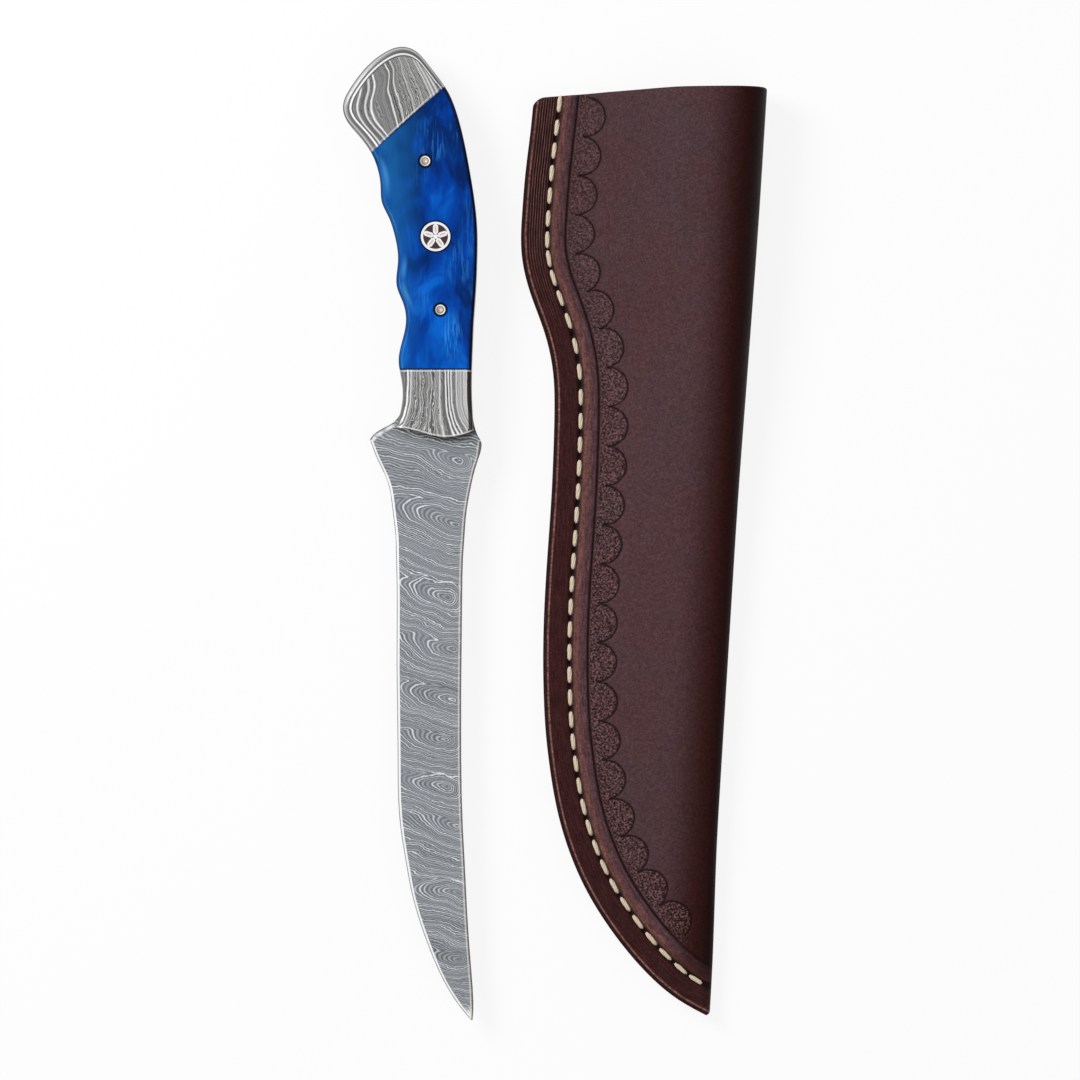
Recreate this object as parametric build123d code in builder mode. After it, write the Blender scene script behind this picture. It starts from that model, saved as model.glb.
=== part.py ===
from build123d import *
import math
import os

# Fillet knife with its folded leather sheath, lying side by side on a flat surface.
# Millimetres. +X runs from the knife to the sheath, +Y towards the butt of the handle
# and the mouth of the sheath, and +Z up from the surface. The knife lies on its left
# side, so its right side faces up, and its cutting edge points to -X.

# Knife: driving sizes
blade_length = 197.4
blade_width = 21.6
steel_thickness = 3.0
edge_bevel_width = 1.0
edge_land = 0.1
handle_length = 133.3
grip_width = 27.0
scale_thickness = 8.5
scale_edge_drop = 2.4
handle_edge_radius = 2.0
crown_overhang = 3.0

# Knife: pins
small_pin_diameter = 4.0
small_pin_core_diameter = 2.2
mosaic_diameter = 10.0
mosaic_wall = 0.8
mosaic_petal_width = 1.75
mosaic_petal_slit = 0.55
mosaic_hub_diameter = 1.5
mosaic_fit = 0.05
mosaic_petals = 5
bolster_pin_diameter = 3.0
bolster_pin_reach = 4.5

# Sheath: driving sizes
sheath_length = 316.0
sheath_width = 80.0
leather_thickness = 2.5
welt_thickness = 3.0
mouth_rise = 18.0
fold_bow = 1.2
border_width = 15.2
border_lap = 3.5
welt_fit = 1.0
sheath_tilt = 3.5

# Sheath: stitching
stitch_inset = 9.0
stitch_pitch = 7.85
stitch_length = 6.2
thread_width = 1.7
thread_height = 0.9
thread_hole_diameter = 1.1
thread_core_width = 0.8
thread_core_height = 0.4
thread_groove_depth = 0.5
crease_width = 1.2
crease_depth = 0.5
thread_fit = 0.1
groove_fit = 0.3
tip_setback = 9.0
mouth_setback = 12.6

# Places on the surface, from the middle of the whole layout
knife_x = -42.7
knife_y = 32.05
sheath_x = 52.8
sheath_y = -163.95
overrun = 5.0

half_steel = steel_thickness / 2
half_handle = half_steel + scale_thickness
stack_height = 2 * leather_thickness + welt_thickness
pouch_height = stack_height + mouth_rise

# Handle outline, seen from the right side, as shares of grip_width across and of
# handle_length along. It starts at the bolster on the edge side, runs up the finger
# grooves to the butt, and comes back down the spine side to the bolster.
grip_outline_shares = [
    (-0.42, 0.030), (-0.364, 0.068), (-0.334, 0.107), (-0.353, 0.158), (-0.385, 0.199),
    (-0.346, 0.247), (-0.292, 0.301), (-0.327, 0.347), (-0.407, 0.390), (-0.392, 0.454),
    (-0.428, 0.515), (-0.516, 0.569), (-0.596, 0.605), (-0.611, 0.645), (-0.655, 0.694),
    (-0.754, 0.740), (-0.948, 0.791), (-1.064, 0.824), (-1.082, 0.852), (-0.996, 0.893),
    (-0.808, 0.944), (-0.563, 0.985), (-0.334, 1.000), (-0.183, 0.991), (-0.047, 0.964),
    (0.110, 0.923), (0.244, 0.883), (0.330, 0.842), (0.434, 0.765), (0.507, 0.689),
    (0.568, 0.612), (0.603, 0.536), (0.603, 0.464), (0.587, 0.383), (0.560, 0.306),
    (0.539, 0.204), (0.531, 0.128), (0.545, 0.061), (0.554, 0.022),
]
# Front curve of the bolster, from the spine side to the edge side.
bolster_front_shares = [
    grip_outline_shares[-1], (0.320, 0.0075), (0.174, 0.006), (-0.044, 0.015), grip_outline_shares[0],
]
bolster_joint_share = 0.179
pommel_joint_shares = [(-0.700, 0.7345), (0.195, 0.898)]
# The steel flares from the bolster out to the heel of the blade and to its spine.
heel_edge_shares = [
    grip_outline_shares[2], grip_outline_shares[1], (-0.441, 0.047), (-0.574, 0.031), (-0.754, 0.0),
]
heel_spine_shares = [(0.641, 0.0), (0.579, 0.026), grip_outline_shares[-2], grip_outline_shares[-3]]

# Crown of each handle side: place along the handle, middle of the crown across it,
# half width, and height at the middle, as shares of handle_length, grip_width,
# grip_width and scale_thickness.
crown_shares = [
    (-0.12, 0.05, 0.62, 0.78), (0.12, 0.10, 0.52, 0.86), (0.28, 0.13, 0.52, 0.98),
    (0.45, 0.10, 0.60, 1.04), (0.62, 0.00, 0.70, 1.05), (0.80, -0.25, 0.85, 1.00),
    (1.12, -0.44, 0.95, 0.78),
]

# Blade stations: place along the blade as a share of blade_length, the edge and the
# spine across it as shares of blade_width, and the thickness of the spine and of the
# shoulder of the edge bevel as shares of steel_thickness.
blade_shares = [
    (0.0000, -0.943, 0.801, 1.00, 1.00), (0.0207, -0.870, 0.804, 1.00, 0.66),
    (0.0448, -0.770, 0.732, 0.99, 0.42), (0.0723, -0.660, 0.667, 0.97, 0.28),
    (0.1033, -0.601, 0.611, 0.95, 0.21), (0.1464, -0.554, 0.562, 0.92, 0.18),
    (0.2067, -0.527, 0.526, 0.88, 0.17), (0.3100, -0.515, 0.510, 0.81, 0.16),
    (0.4478, -0.512, 0.498, 0.73, 0.16), (0.5856, -0.501, 0.503, 0.65, 0.15),
    (0.6476, -0.478, 0.517, 0.61, 0.15), (0.7062, -0.407, 0.543, 0.57, 0.14),
    (0.7751, -0.294, 0.576, 0.52, 0.14), (0.8354, -0.140, 0.604, 0.47, 0.13),
    (0.8956, 0.065, 0.645, 0.40, 0.12), (0.9473, 0.297, 0.682, 0.33, 0.11),
    (0.9818, 0.512, 0.691, 0.24, 0.10), (1.0000, 0.653, 0.678, 0.12, 0.08),
]
bevel_limit_share = 0.3

# Pin places, as shares of grip_width and handle_length.
front_pin_shares = (0.142, 0.330)
rear_pin_shares = (-0.049, 0.708)
mosaic_pin_shares = (0.082, 0.516)
front_bolster_pin_shares = [(-0.12, 0.115), (0.31, 0.095)]
pommel_pin_shares = [(-0.72, 0.850), (-0.25, 0.925)]

# Sewn edge of the sheath, from the tip to the mouth, as shares of sheath_width and
# sheath_length, with the fold at zero.
seam_shares = [
    (-0.019, 0.000), (-0.137, 0.0145), (-0.293, 0.0445), (-0.443, 0.0855), (-0.558, 0.1265),
    (-0.642, 0.168), (-0.703, 0.211), (-0.743, 0.253), (-0.773, 0.296), (-0.792, 0.339),
    (-0.804, 0.382), (-0.811, 0.468), (-0.809, 0.554), (-0.812, 0.597), (-0.818, 0.640),
    (-0.835, 0.683), (-0.882, 0.725), (-0.953, 0.767), (-0.999, 0.808), (-1.007, 0.853),
    (-1.004, 0.896), (-0.991, 0.961), (-0.984, 1.010),
]
# Mouth of the sheath: its rounded corner at the sewn edge, then its run to the fold.
mouth_corner_shares = [(-0.992, 0.958), (-0.986, 0.970), (-0.967, 0.9763)]
mouth_run_shares = [(-0.967, 0.9763), (-0.671, 0.9867), (-0.381, 0.9945), (0.000, 1.0005)]
# Pouch stations: place as a share of the length of the sewn edge, how far the pouch
# rises above the sewn border as a share of mouth_rise, and how far the fold bows in as
# a share of fold_bow.
pouch_shares = [
    (0.040, 0.018, 0.1), (0.095, 0.040, 0.3), (0.150, 0.076, 0.6), (0.210, 0.112, 0.9),
    (0.280, 0.155, 1.0), (0.360, 0.198, 1.0), (0.440, 0.242, 1.0), (0.520, 0.307, 1.0),
    (0.600, 0.437, 0.9), (0.680, 0.668, 0.6), (0.760, 0.870, 0.3), (0.840, 0.971, 0.1),
    (0.920, 1.000, 0.0), (1.000, 1.000, 0.0),
]
# Section of the pouch: how far the fold's round and the crown's pull reach, as shares
# of the station's height and width.
fold_run_share = 0.50
crown_reach_share = 0.50
border_reach_share = 0.34
fold_pull_share = 1 / 3
hollow_start = 2
border_steps = 24


def handle_point(across_share, along_share):
    """Point of the knife's handle, in the knife's own plane."""
    return (across_share * grip_width, along_share * handle_length)


def sheath_point(across_share, along_share):
    """Point of the sheath's outline, in the sheath's own plane."""
    return (across_share * sheath_width, along_share * sheath_length)


knife_plane = Plane((knife_x, knife_y, half_handle))
tilt = math.radians(sheath_tilt)
sheath_plane = Plane((sheath_x, sheath_y, 0), x_dir=(math.cos(tilt), -math.sin(tilt), 0))


def knife_section(along):
    """Upright plane across the knife, at a distance along it from the heel."""
    origin = knife_plane.from_local_coords((0, along, 0))
    return Plane(origin, x_dir=knife_plane.x_dir, z_dir=-knife_plane.y_dir)


def sheath_section(along):
    """Upright plane across the sheath, at a distance along it from the tip."""
    origin = sheath_plane.from_local_coords((0, along, 0))
    return Plane(origin, x_dir=sheath_plane.x_dir, z_dir=-sheath_plane.y_dir)


# Blade and full tang, one piece of layered steel
with BuildSketch(knife_plane) as grip_outline:
    with BuildLine():
        Spline([handle_point(*share) for share in grip_outline_shares])
        Spline([handle_point(*share) for share in bolster_front_shares])
    make_face()

with BuildSketch(knife_plane) as tang_outline:
    add(grip_outline.sketch_local)
    with BuildLine():
        Spline([handle_point(*share) for share in heel_edge_shares])
        Line(handle_point(*heel_edge_shares[-1]), handle_point(*heel_spine_shares[0]))
        Spline([handle_point(*share) for share in heel_spine_shares])
        Line(handle_point(*heel_spine_shares[-1]), handle_point(*heel_edge_shares[0]))
    make_face()

front_pin_place = handle_point(*front_pin_shares)
rear_pin_place = handle_point(*rear_pin_shares)
mosaic_pin_place = handle_point(*mosaic_pin_shares)
front_bolster_pin_places = [handle_point(*share) for share in front_bolster_pin_shares]
pommel_pin_places = [handle_point(*share) for share in pommel_pin_shares]
bolster_pin_places = front_bolster_pin_places + pommel_pin_places

with BuildPart() as blade:
    for along_share, edge_share, spine_share, spine_thick_share, shoulder_share in blade_shares:
        edge_x = edge_share * blade_width
        spine_x = spine_share * blade_width
        bevel = min(edge_bevel_width, bevel_limit_share * (spine_x - edge_x))
        spine_half = spine_thick_share * half_steel
        shoulder_half = shoulder_share * half_steel
        with BuildSketch(knife_section(-along_share * blade_length)):
            with BuildLine():
                Polyline(
                    (spine_x, -spine_half), (spine_x, spine_half),
                    (edge_x + bevel, shoulder_half), (edge_x, edge_land / 2),
                    (edge_x, -edge_land / 2), (edge_x + bevel, -shoulder_half), close=True,
                )
            make_face()
    loft()
    extrude(tang_outline.sketch, amount=half_steel, both=True)
    with BuildSketch(knife_plane):
        with Locations(front_pin_place, rear_pin_place):
            Circle(small_pin_diameter / 2)
        with Locations(mosaic_pin_place):
            Circle(mosaic_diameter / 2)
        with Locations(bolster_pin_places):
            Circle(bolster_pin_diameter / 2)
    extrude(amount=half_steel, both=True, mode=Mode.SUBTRACT)
blade.part.label = "blade"

# One whole side of the handle, crowned and rounded, before it is cut into its pieces
with BuildPart() as handle_side:
    extrude(grip_outline.sketch, amount=half_handle + overrun)
    with BuildPart(mode=Mode.INTERSECT):
        for along_share, middle_share, half_share, height_share in crown_shares:
            middle_x = middle_share * grip_width
            reach = half_share * grip_width + crown_overhang
            crest = half_steel + height_share * scale_thickness
            with BuildSketch(knife_section(along_share * handle_length)):
                with BuildLine():
                    ThreePointArc(
                        (middle_x - reach, crest - scale_edge_drop), (middle_x, crest),
                        (middle_x + reach, crest - scale_edge_drop),
                    )
                    Polyline(
                        (middle_x + reach, crest - scale_edge_drop), (middle_x + reach, -overrun),
                        (middle_x - reach, -overrun), (middle_x - reach, crest - scale_edge_drop),
                    )
                make_face()
        loft()
    crown_edges = handle_side.edges().filter_by(GeomType.LINE, reverse=True).group_by(Axis.Z)[-1]
    fillet(crown_edges.sort_by(Edge.length)[-1], handle_edge_radius)
    split(bisect_by=knife_plane.offset(half_handle), keep=Keep.BOTTOM)

with BuildPart() as handle_envelope:
    add(handle_side.part)
    mirror(about=knife_plane)

bolster_joint = knife_section(bolster_joint_share * handle_length)
pommel_joint_start = handle_point(*pommel_joint_shares[0])
pommel_joint_end = handle_point(*pommel_joint_shares[1])
pommel_joint = Plane(
    knife_plane.from_local_coords((*pommel_joint_start, 0)),
    x_dir=Vector(*pommel_joint_end) - Vector(*pommel_joint_start),
    z_dir=(
        pommel_joint_start[1] - pommel_joint_end[1], pommel_joint_end[0] - pommel_joint_start[0], 0,
    ),
)
steel_face = knife_plane.offset(half_steel)

# Front bolster, one block of layered steel on each side of the tang
with BuildPart() as front_bolster_right:
    add(handle_side.part)
    split(bisect_by=steel_face, keep=Keep.TOP)
    split(bisect_by=bolster_joint, keep=Keep.TOP)
    with BuildSketch(steel_face):
        with Locations(front_bolster_pin_places):
            Circle(bolster_pin_diameter / 2)
    extrude(amount=bolster_pin_reach, mode=Mode.SUBTRACT)
front_bolster_right.part.label = "front_bolster_right"

# Pommel bolster on each side of the tang
with BuildPart() as pommel_bolster_right:
    add(handle_side.part)
    split(bisect_by=steel_face, keep=Keep.TOP)
    split(bisect_by=pommel_joint, keep=Keep.TOP)
    with BuildSketch(steel_face):
        with Locations(pommel_pin_places):
            Circle(bolster_pin_diameter / 2)
    extrude(amount=bolster_pin_reach, mode=Mode.SUBTRACT)
pommel_bolster_right.part.label = "pommel_bolster_right"

# Resin scale on each side of the tang, between the two bolsters
with BuildPart() as scale_right:
    add(handle_side.part)
    split(bisect_by=steel_face, keep=Keep.TOP)
    split(bisect_by=bolster_joint, keep=Keep.BOTTOM)
    split(bisect_by=pommel_joint, keep=Keep.BOTTOM)
    with BuildSketch(steel_face):
        with Locations(front_pin_place, rear_pin_place):
            Circle(small_pin_diameter / 2)
        with Locations(mosaic_pin_place):
            Circle(mosaic_diameter / 2)
    extrude(amount=scale_thickness + overrun, mode=Mode.SUBTRACT)
scale_right.part.label = "scale_right"

with BuildPart() as front_bolster_left:
    mirror(front_bolster_right.part, about=knife_plane)
front_bolster_left.part.label = "front_bolster_left"

with BuildPart() as pommel_bolster_left:
    mirror(pommel_bolster_right.part, about=knife_plane)
pommel_bolster_left.part.label = "pommel_bolster_left"

with BuildPart() as scale_left:
    mirror(scale_right.part, about=knife_plane)
scale_left.part.label = "scale_left"

# Hidden pins that hold the bolsters to the tang
with BuildPart() as front_bolster_pins:
    with BuildSketch(knife_plane):
        with Locations(front_bolster_pin_places):
            Circle(bolster_pin_diameter / 2)
    extrude(amount=half_steel + bolster_pin_reach, both=True)
front_bolster_pins.part.label = "front_bolster_pins"

with BuildPart() as pommel_bolster_pins:
    with BuildSketch(knife_plane):
        with Locations(pommel_pin_places):
            Circle(bolster_pin_diameter / 2)
    extrude(amount=half_steel + bolster_pin_reach, both=True)
pommel_bolster_pins.part.label = "pommel_bolster_pins"

# Pins that show in the scales, ground flush with both sides of the grip
def flush_rod(profile):
    """Rod or tube of this profile, as long as the grip is thick where it stands."""
    with BuildPart() as rod:
        extrude(profile, amount=half_handle + overrun, both=True)
        add(handle_envelope.part, mode=Mode.INTERSECT)
    return rod


# Small pins, each a steel tube with a brass core
small_pins = {}
for pin_name, pin_place in (("front_pin", front_pin_place), ("rear_pin", rear_pin_place)):
    with BuildSketch(knife_plane) as tube_profile:
        with Locations(pin_place):
            Circle(small_pin_diameter / 2)
            Circle(small_pin_core_diameter / 2, mode=Mode.SUBTRACT)
    with BuildSketch(knife_plane) as core_profile:
        with Locations(pin_place):
            Circle(small_pin_core_diameter / 2)
    small_pins[f"{pin_name}_tube"] = flush_rod(tube_profile.sketch)
    small_pins[f"{pin_name}_core"] = flush_rod(core_profile.sketch)
for pin_name, pin in small_pins.items():
    pin.part.label = pin_name

# Mosaic pin: a steel tube, five flattened tubes and a hub rod, set in dark resin
mosaic_bore = mosaic_diameter / 2 - mosaic_wall
petal_inner_centre = mosaic_hub_diameter / 2 + mosaic_fit + mosaic_petal_width / 2
petal_outer_centre = mosaic_bore - mosaic_fit - mosaic_petal_width / 2
petal_middle = (petal_inner_centre + petal_outer_centre) / 2
petal_run = petal_outer_centre - petal_inner_centre
mosaic_plane = Plane(knife_plane.from_local_coords((*mosaic_pin_place, 0)))

with BuildSketch(mosaic_plane) as mosaic_ring:
    Circle(mosaic_diameter / 2)
    Circle(mosaic_bore, mode=Mode.SUBTRACT)

with BuildSketch(mosaic_plane) as mosaic_star:
    with PolarLocations(petal_middle, mosaic_petals, start_angle=90):
        SlotCenterToCenter(petal_run, mosaic_petal_width)
        SlotCenterToCenter(petal_run, mosaic_petal_slit, mode=Mode.SUBTRACT)
    Circle(mosaic_hub_diameter / 2)

with BuildSketch(mosaic_plane) as mosaic_gaps:
    Circle(mosaic_bore)
    add(mosaic_star.sketch_local, mode=Mode.SUBTRACT)

mosaic_pin_tube = flush_rod(mosaic_ring.sketch)
mosaic_pin_tube.part.label = "mosaic_pin_tube"
mosaic_pin_rods = flush_rod(mosaic_star.sketch)
mosaic_pin_rods.part.label = "mosaic_pin_rods"
mosaic_pin_filler = flush_rod(mosaic_gaps.sketch)
mosaic_pin_filler.part.label = "mosaic_pin_filler"

# Sheath: lines that follow its sewn edge
seam_curve = Spline([sheath_point(*share) for share in seam_shares])


def beside_seam(length_share, inset):
    """Point of the sheath beside its sewn edge, in the sheath's own plane."""
    place = seam_curve.position_at(length_share)
    run = seam_curve.tangent_at(length_share)
    return (place.X + run.Y * inset, place.Y - run.X * inset)


def border_face(outer_inset, inner_inset, fold_limit):
    """Face between two lines beside the sewn edge, cut off at a line along the fold."""
    outer = [beside_seam(step / border_steps, outer_inset) for step in range(border_steps + 1)]
    inner = [beside_seam(step / border_steps, inner_inset) for step in range(border_steps + 1)]
    with BuildSketch() as border:
        with BuildLine():
            Spline(outer)
            Line(outer[-1], inner[-1])
            Spline(inner)
            Line(inner[0], outer[0])
        make_face()
        with Locations((fold_limit, 0)):
            Rectangle(
                2 * sheath_width, 3 * sheath_length, align=(Align.MAX, Align.CENTER),
                mode=Mode.INTERSECT,
            )
    return border.sketch


def pouch_section(station, wall):
    """Section of the pouch at one station, drawn in by the thickness of its wall."""
    length_share, rise_share, bow_share = station
    left, along = beside_seam(length_share, border_width)
    right = -bow_share * fold_bow
    top = stack_height + rise_share * mouth_rise
    crown_x = right - fold_run_share * top
    pull_x = right - wall + (fold_run_share * top - wall) * fold_pull_share
    slope_run = crown_x - left
    with BuildSketch(sheath_section(along)) as section:
        with BuildLine():
            Line((left, wall), (crown_x, wall))
            Bezier((crown_x, wall), (pull_x, wall), (pull_x, top - wall), (crown_x, top - wall))
            Bezier(
                (crown_x, top - wall), (crown_x - crown_reach_share * slope_run, top - wall),
                (left + border_reach_share * slope_run, stack_height - wall),
                (left, stack_height - wall),
            )
            Line((left, stack_height - wall), (left, wall))
        make_face()
    return section.sketch


def mouth_cut():
    """Face above the mouth, to be cut away through the whole sheath."""
    corner = [sheath_point(*share) for share in mouth_corner_shares]
    run = [sheath_point(*share) for share in mouth_run_shares]
    left = corner[0][0] - overrun
    top = sheath_length + 2 * overrun
    with BuildSketch(sheath_plane) as above_mouth:
        with BuildLine():
            Spline(corner)
            Spline(run)
            Polyline(
                run[-1], (overrun, run[-1][1]), (overrun, top), (left, top),
                (left, corner[0][1]), corner[0],
            )
        make_face()
    return above_mouth.sketch


groove_outer = stitch_inset - thread_width / 2 - groove_fit
groove_inner = stitch_inset + thread_width / 2 + groove_fit
back_groove_depth = thread_height + thread_fit
stitch_run = seam_curve.length - tip_setback - mouth_setback
stitch_count = round(stitch_run / stitch_pitch) + 1
stitch_places = []
thread_hole_places = []
for index in range(stitch_count):
    here_share = (tip_setback + index * stitch_pitch) / seam_curve.length
    hole_share = (tip_setback + (index - 0.5) * stitch_pitch) / seam_curve.length
    turn = math.degrees(math.atan2(seam_curve.tangent_at(here_share).Y, seam_curve.tangent_at(here_share).X))
    stitch_places.append(Location((*beside_seam(here_share, stitch_inset), 0), (0, 0, turn)))
    thread_hole_places.append(beside_seam(hole_share, stitch_inset))
thread_hole_places.append(beside_seam(here_share + 0.5 * stitch_pitch / seam_curve.length, stitch_inset))


def thread_core_face():
    """Straight runs of thread from hole to hole, as one face."""
    with BuildSketch() as core:
        for start, end in zip(thread_hole_places[:-1], thread_hole_places[1:]):
            middle = ((start[0] + end[0]) / 2, (start[1] + end[1]) / 2, 0)
            turn = math.degrees(math.atan2(end[1] - start[1], end[0] - start[0]))
            with Locations(Location(middle, (0, 0, turn))):
                Rectangle(math.dist(start, end), thread_core_width)
    return core.sketch


# Leather of the sheath: one piece, with its back, fold and front
with BuildPart() as sheath_leather:
    for station in pouch_shares:
        add(pouch_section(station, 0))
    loft()
    with BuildSketch(sheath_plane):
        add(border_face(0, border_width + border_lap, 0))
    extrude(amount=stack_height)
    with BuildPart(mode=Mode.SUBTRACT):
        for station in pouch_shares[hollow_start:]:
            add(pouch_section(station, leather_thickness))
        loft()
    with BuildSketch(sheath_plane.offset(leather_thickness)):
        add(border_face(-overrun, border_width + welt_fit, -leather_thickness))
    extrude(amount=welt_thickness, mode=Mode.SUBTRACT)
    extrude(mouth_cut(), amount=pouch_height + overrun, mode=Mode.SUBTRACT)
    with BuildSketch(sheath_plane):
        add(border_face(groove_outer, groove_inner, 0))
    extrude(amount=back_groove_depth, mode=Mode.SUBTRACT)
    with BuildSketch(sheath_plane.offset(stack_height)):
        add(border_face(groove_outer, groove_inner, 0))
    extrude(amount=-thread_groove_depth, mode=Mode.SUBTRACT)
    with BuildSketch(sheath_plane.offset(stack_height - crease_depth)):
        add(border_face(border_width - crease_width / 2, border_width + crease_width / 2, 0))
    extrude(amount=pouch_height, mode=Mode.SUBTRACT)
    with BuildSketch(sheath_plane):
        with Locations(thread_hole_places):
            Circle(thread_hole_diameter / 2)
    extrude(amount=stack_height, mode=Mode.SUBTRACT)
sheath_leather.part.label = "sheath_leather"

# Welt: a strip of leather between the two sewn layers, which guards the thread
with BuildPart() as sheath_welt:
    with BuildSketch(sheath_plane.offset(leather_thickness)):
        add(border_face(0, border_width, -leather_thickness))
    extrude(amount=welt_thickness)
    extrude(mouth_cut(), amount=stack_height, mode=Mode.SUBTRACT)
    with BuildSketch(sheath_plane):
        with Locations(thread_hole_places):
            Circle(thread_hole_diameter / 2)
    extrude(amount=stack_height, mode=Mode.SUBTRACT)
sheath_welt.part.label = "sheath_welt"

# Waxed thread: it runs along both faces of the border and through every hole
with BuildPart() as sheath_thread:
    with BuildSketch(sheath_plane.offset(thread_fit)):
        with Locations(thread_hole_places):
            Circle(thread_hole_diameter / 2)
    extrude(amount=stack_height - thread_fit - thread_groove_depth + thread_core_height)
    with BuildSketch(sheath_plane.offset(back_groove_depth - thread_core_height)):
        add(thread_core_face())
    extrude(amount=thread_core_height)
    with BuildSketch(sheath_plane.offset(stack_height - thread_groove_depth)):
        add(thread_core_face())
    extrude(amount=thread_core_height)
    with BuildSketch(sheath_plane.offset(thread_fit)):
        with Locations(stitch_places):
            SlotOverall(stitch_length, thread_width)
    extrude(amount=thread_height)
    with BuildSketch(sheath_plane.offset(stack_height - thread_groove_depth)):
        with Locations(stitch_places):
            SlotOverall(stitch_length, thread_width)
    extrude(amount=thread_height)
sheath_thread.part.label = "sheath_thread"

os.makedirs("parts", exist_ok=True)
for piece in (
    blade, front_bolster_right, front_bolster_left, pommel_bolster_right, pommel_bolster_left,
    scale_right, scale_left, front_bolster_pins, pommel_bolster_pins, *small_pins.values(),
    mosaic_pin_tube, mosaic_pin_rods, mosaic_pin_filler, sheath_leather, sheath_welt, sheath_thread,
):
    export_step(piece.part, f"parts/{piece.part.label}.step")
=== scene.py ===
import math

import bmesh
import bpy
import numpy as np
from bpy.props import FloatProperty, FloatVectorProperty, PointerProperty
from mathutils import Matrix, Vector, noise


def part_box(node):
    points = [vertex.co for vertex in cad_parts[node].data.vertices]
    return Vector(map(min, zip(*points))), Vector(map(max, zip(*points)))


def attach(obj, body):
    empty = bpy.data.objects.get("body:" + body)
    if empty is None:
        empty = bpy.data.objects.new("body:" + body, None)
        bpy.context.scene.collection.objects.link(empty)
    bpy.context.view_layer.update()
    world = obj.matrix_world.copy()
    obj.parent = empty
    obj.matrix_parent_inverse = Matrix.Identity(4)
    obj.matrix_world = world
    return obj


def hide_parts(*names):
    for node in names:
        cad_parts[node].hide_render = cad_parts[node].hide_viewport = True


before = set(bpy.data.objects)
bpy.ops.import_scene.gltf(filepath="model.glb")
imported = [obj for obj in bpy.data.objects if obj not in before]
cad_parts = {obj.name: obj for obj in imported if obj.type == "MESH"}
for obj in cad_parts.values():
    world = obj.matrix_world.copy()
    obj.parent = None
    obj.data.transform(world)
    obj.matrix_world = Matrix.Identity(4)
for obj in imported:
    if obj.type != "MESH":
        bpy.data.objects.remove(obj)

bl_info = {
    "name": "Fillet Knife and Leather Sheath",
    "version": (1, 0, 0),
    "blender": (4, 5, 0),
    "location": "View3D > Sidebar > Fillet Knife",
    "description": "Layered steel fillet knife with pearl resin scales and a stitched leather sheath",
    "category": "Add Mesh",
}

MM = 0.001

# Sewn edge of the sheath, from the tip to the mouth, as shares of the sheath's width and
# length, with the fold at zero.
SEAM_SHARES = [
    (-0.019, 0.000), (-0.137, 0.0145), (-0.293, 0.0445), (-0.443, 0.0855), (-0.558, 0.1265),
    (-0.642, 0.168), (-0.703, 0.211), (-0.743, 0.253), (-0.773, 0.296), (-0.792, 0.339),
    (-0.804, 0.382), (-0.811, 0.468), (-0.809, 0.554), (-0.812, 0.597), (-0.818, 0.640),
    (-0.835, 0.683), (-0.882, 0.725), (-0.953, 0.767), (-0.999, 0.808), (-1.007, 0.853),
    (-1.004, 0.896), (-0.991, 0.961), (-0.984, 1.010),
]
# Mouth of the sheath, from the sewn edge to the fold.
MOUTH_SHARES = [(-0.992, 0.9754), (-0.671, 0.9867), (-0.381, 0.9945), (0.000, 1.0005)]
STAMPS = 22
# Added on the back to the distance from the sewn edge in mm, to tell it from the front.
BACK_MARK = 1000.0

# Pouch: place as a share of the seam's length, rise as a share of the mouth's rise, and
# how far the fold bows in as a share of the bow.
POUCH_SHARES = [
    (0.000, 0.005, 0.0), (0.040, 0.018, 0.1), (0.095, 0.040, 0.3), (0.150, 0.076, 0.6),
    (0.210, 0.112, 0.9), (0.280, 0.155, 1.0), (0.360, 0.198, 1.0), (0.440, 0.242, 1.0),
    (0.520, 0.307, 1.0), (0.600, 0.437, 0.9), (0.680, 0.668, 0.6), (0.760, 0.870, 0.3),
    (0.840, 0.971, 0.1), (0.920, 1.000, 0.0), (1.000, 1.000, 0.0),
]

# Layers across the front bolster and the pommel: place in mm from the middle line of the
# layers, and how bright they show, from 0 to 255.
FRONT_LAYERS = [
    (-13.0, 112), (-10.0, 118), (-9.6, 66), (-9.2, 80), (-8.8, 244), (-8.35, 70), (-8.1, 96),
    (-7.8, 226), (-7.3, 108), (1.6, 118), (2.1, 224), (2.6, 96), (3.7, 84), (4.1, 242),
    (4.5, 66), (4.75, 80), (5.1, 244), (5.5, 66), (5.7, 84), (6.0, 238), (6.4, 92),
    (7.3, 112), (7.6, 224), (7.95, 112), (8.35, 196), (8.7, 118), (9.1, 192), (9.5, 126),
    (9.9, 186), (10.7, 166), (11.1, 232), (11.4, 44),
]
POMMEL_LAYERS = [
    (-16.4, 88), (-15.8, 224), (-15.1, 84), (-13.7, 96), (-13.1, 236), (-12.6, 80), (-11.0, 92),
    (-10.4, 242), (-9.9, 84), (-9.0, 98), (-8.5, 242), (-8.0, 112), (-4.0, 120), (-2.4, 100),
    (-1.9, 242), (-1.4, 78), (0.2, 96), (0.7, 232), (1.2, 84), (2.8, 104), (4.9, 86), (5.4, 214),
    (6.0, 98), (8.0, 128), (11.5, 106), (12.1, 240), (12.6, 84), (13.3, 236), (13.9, 84),
    (14.8, 230), (15.4, 80),
]
# The pommel's rim, from its outline inwards: painted highlights and painted shade of its rounded
# edge, as levels of grey.
RIM_HIGHLIGHTS_AND_SHADE = [
    (0.0, 66), (0.3, 92), (0.55, 198), (0.85, 176), (1.15, 122), (1.6, 84), (2.05, 100),
    (2.3, 224), (2.6, 214), (2.85, 70), (3.3, 96),
]

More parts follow.
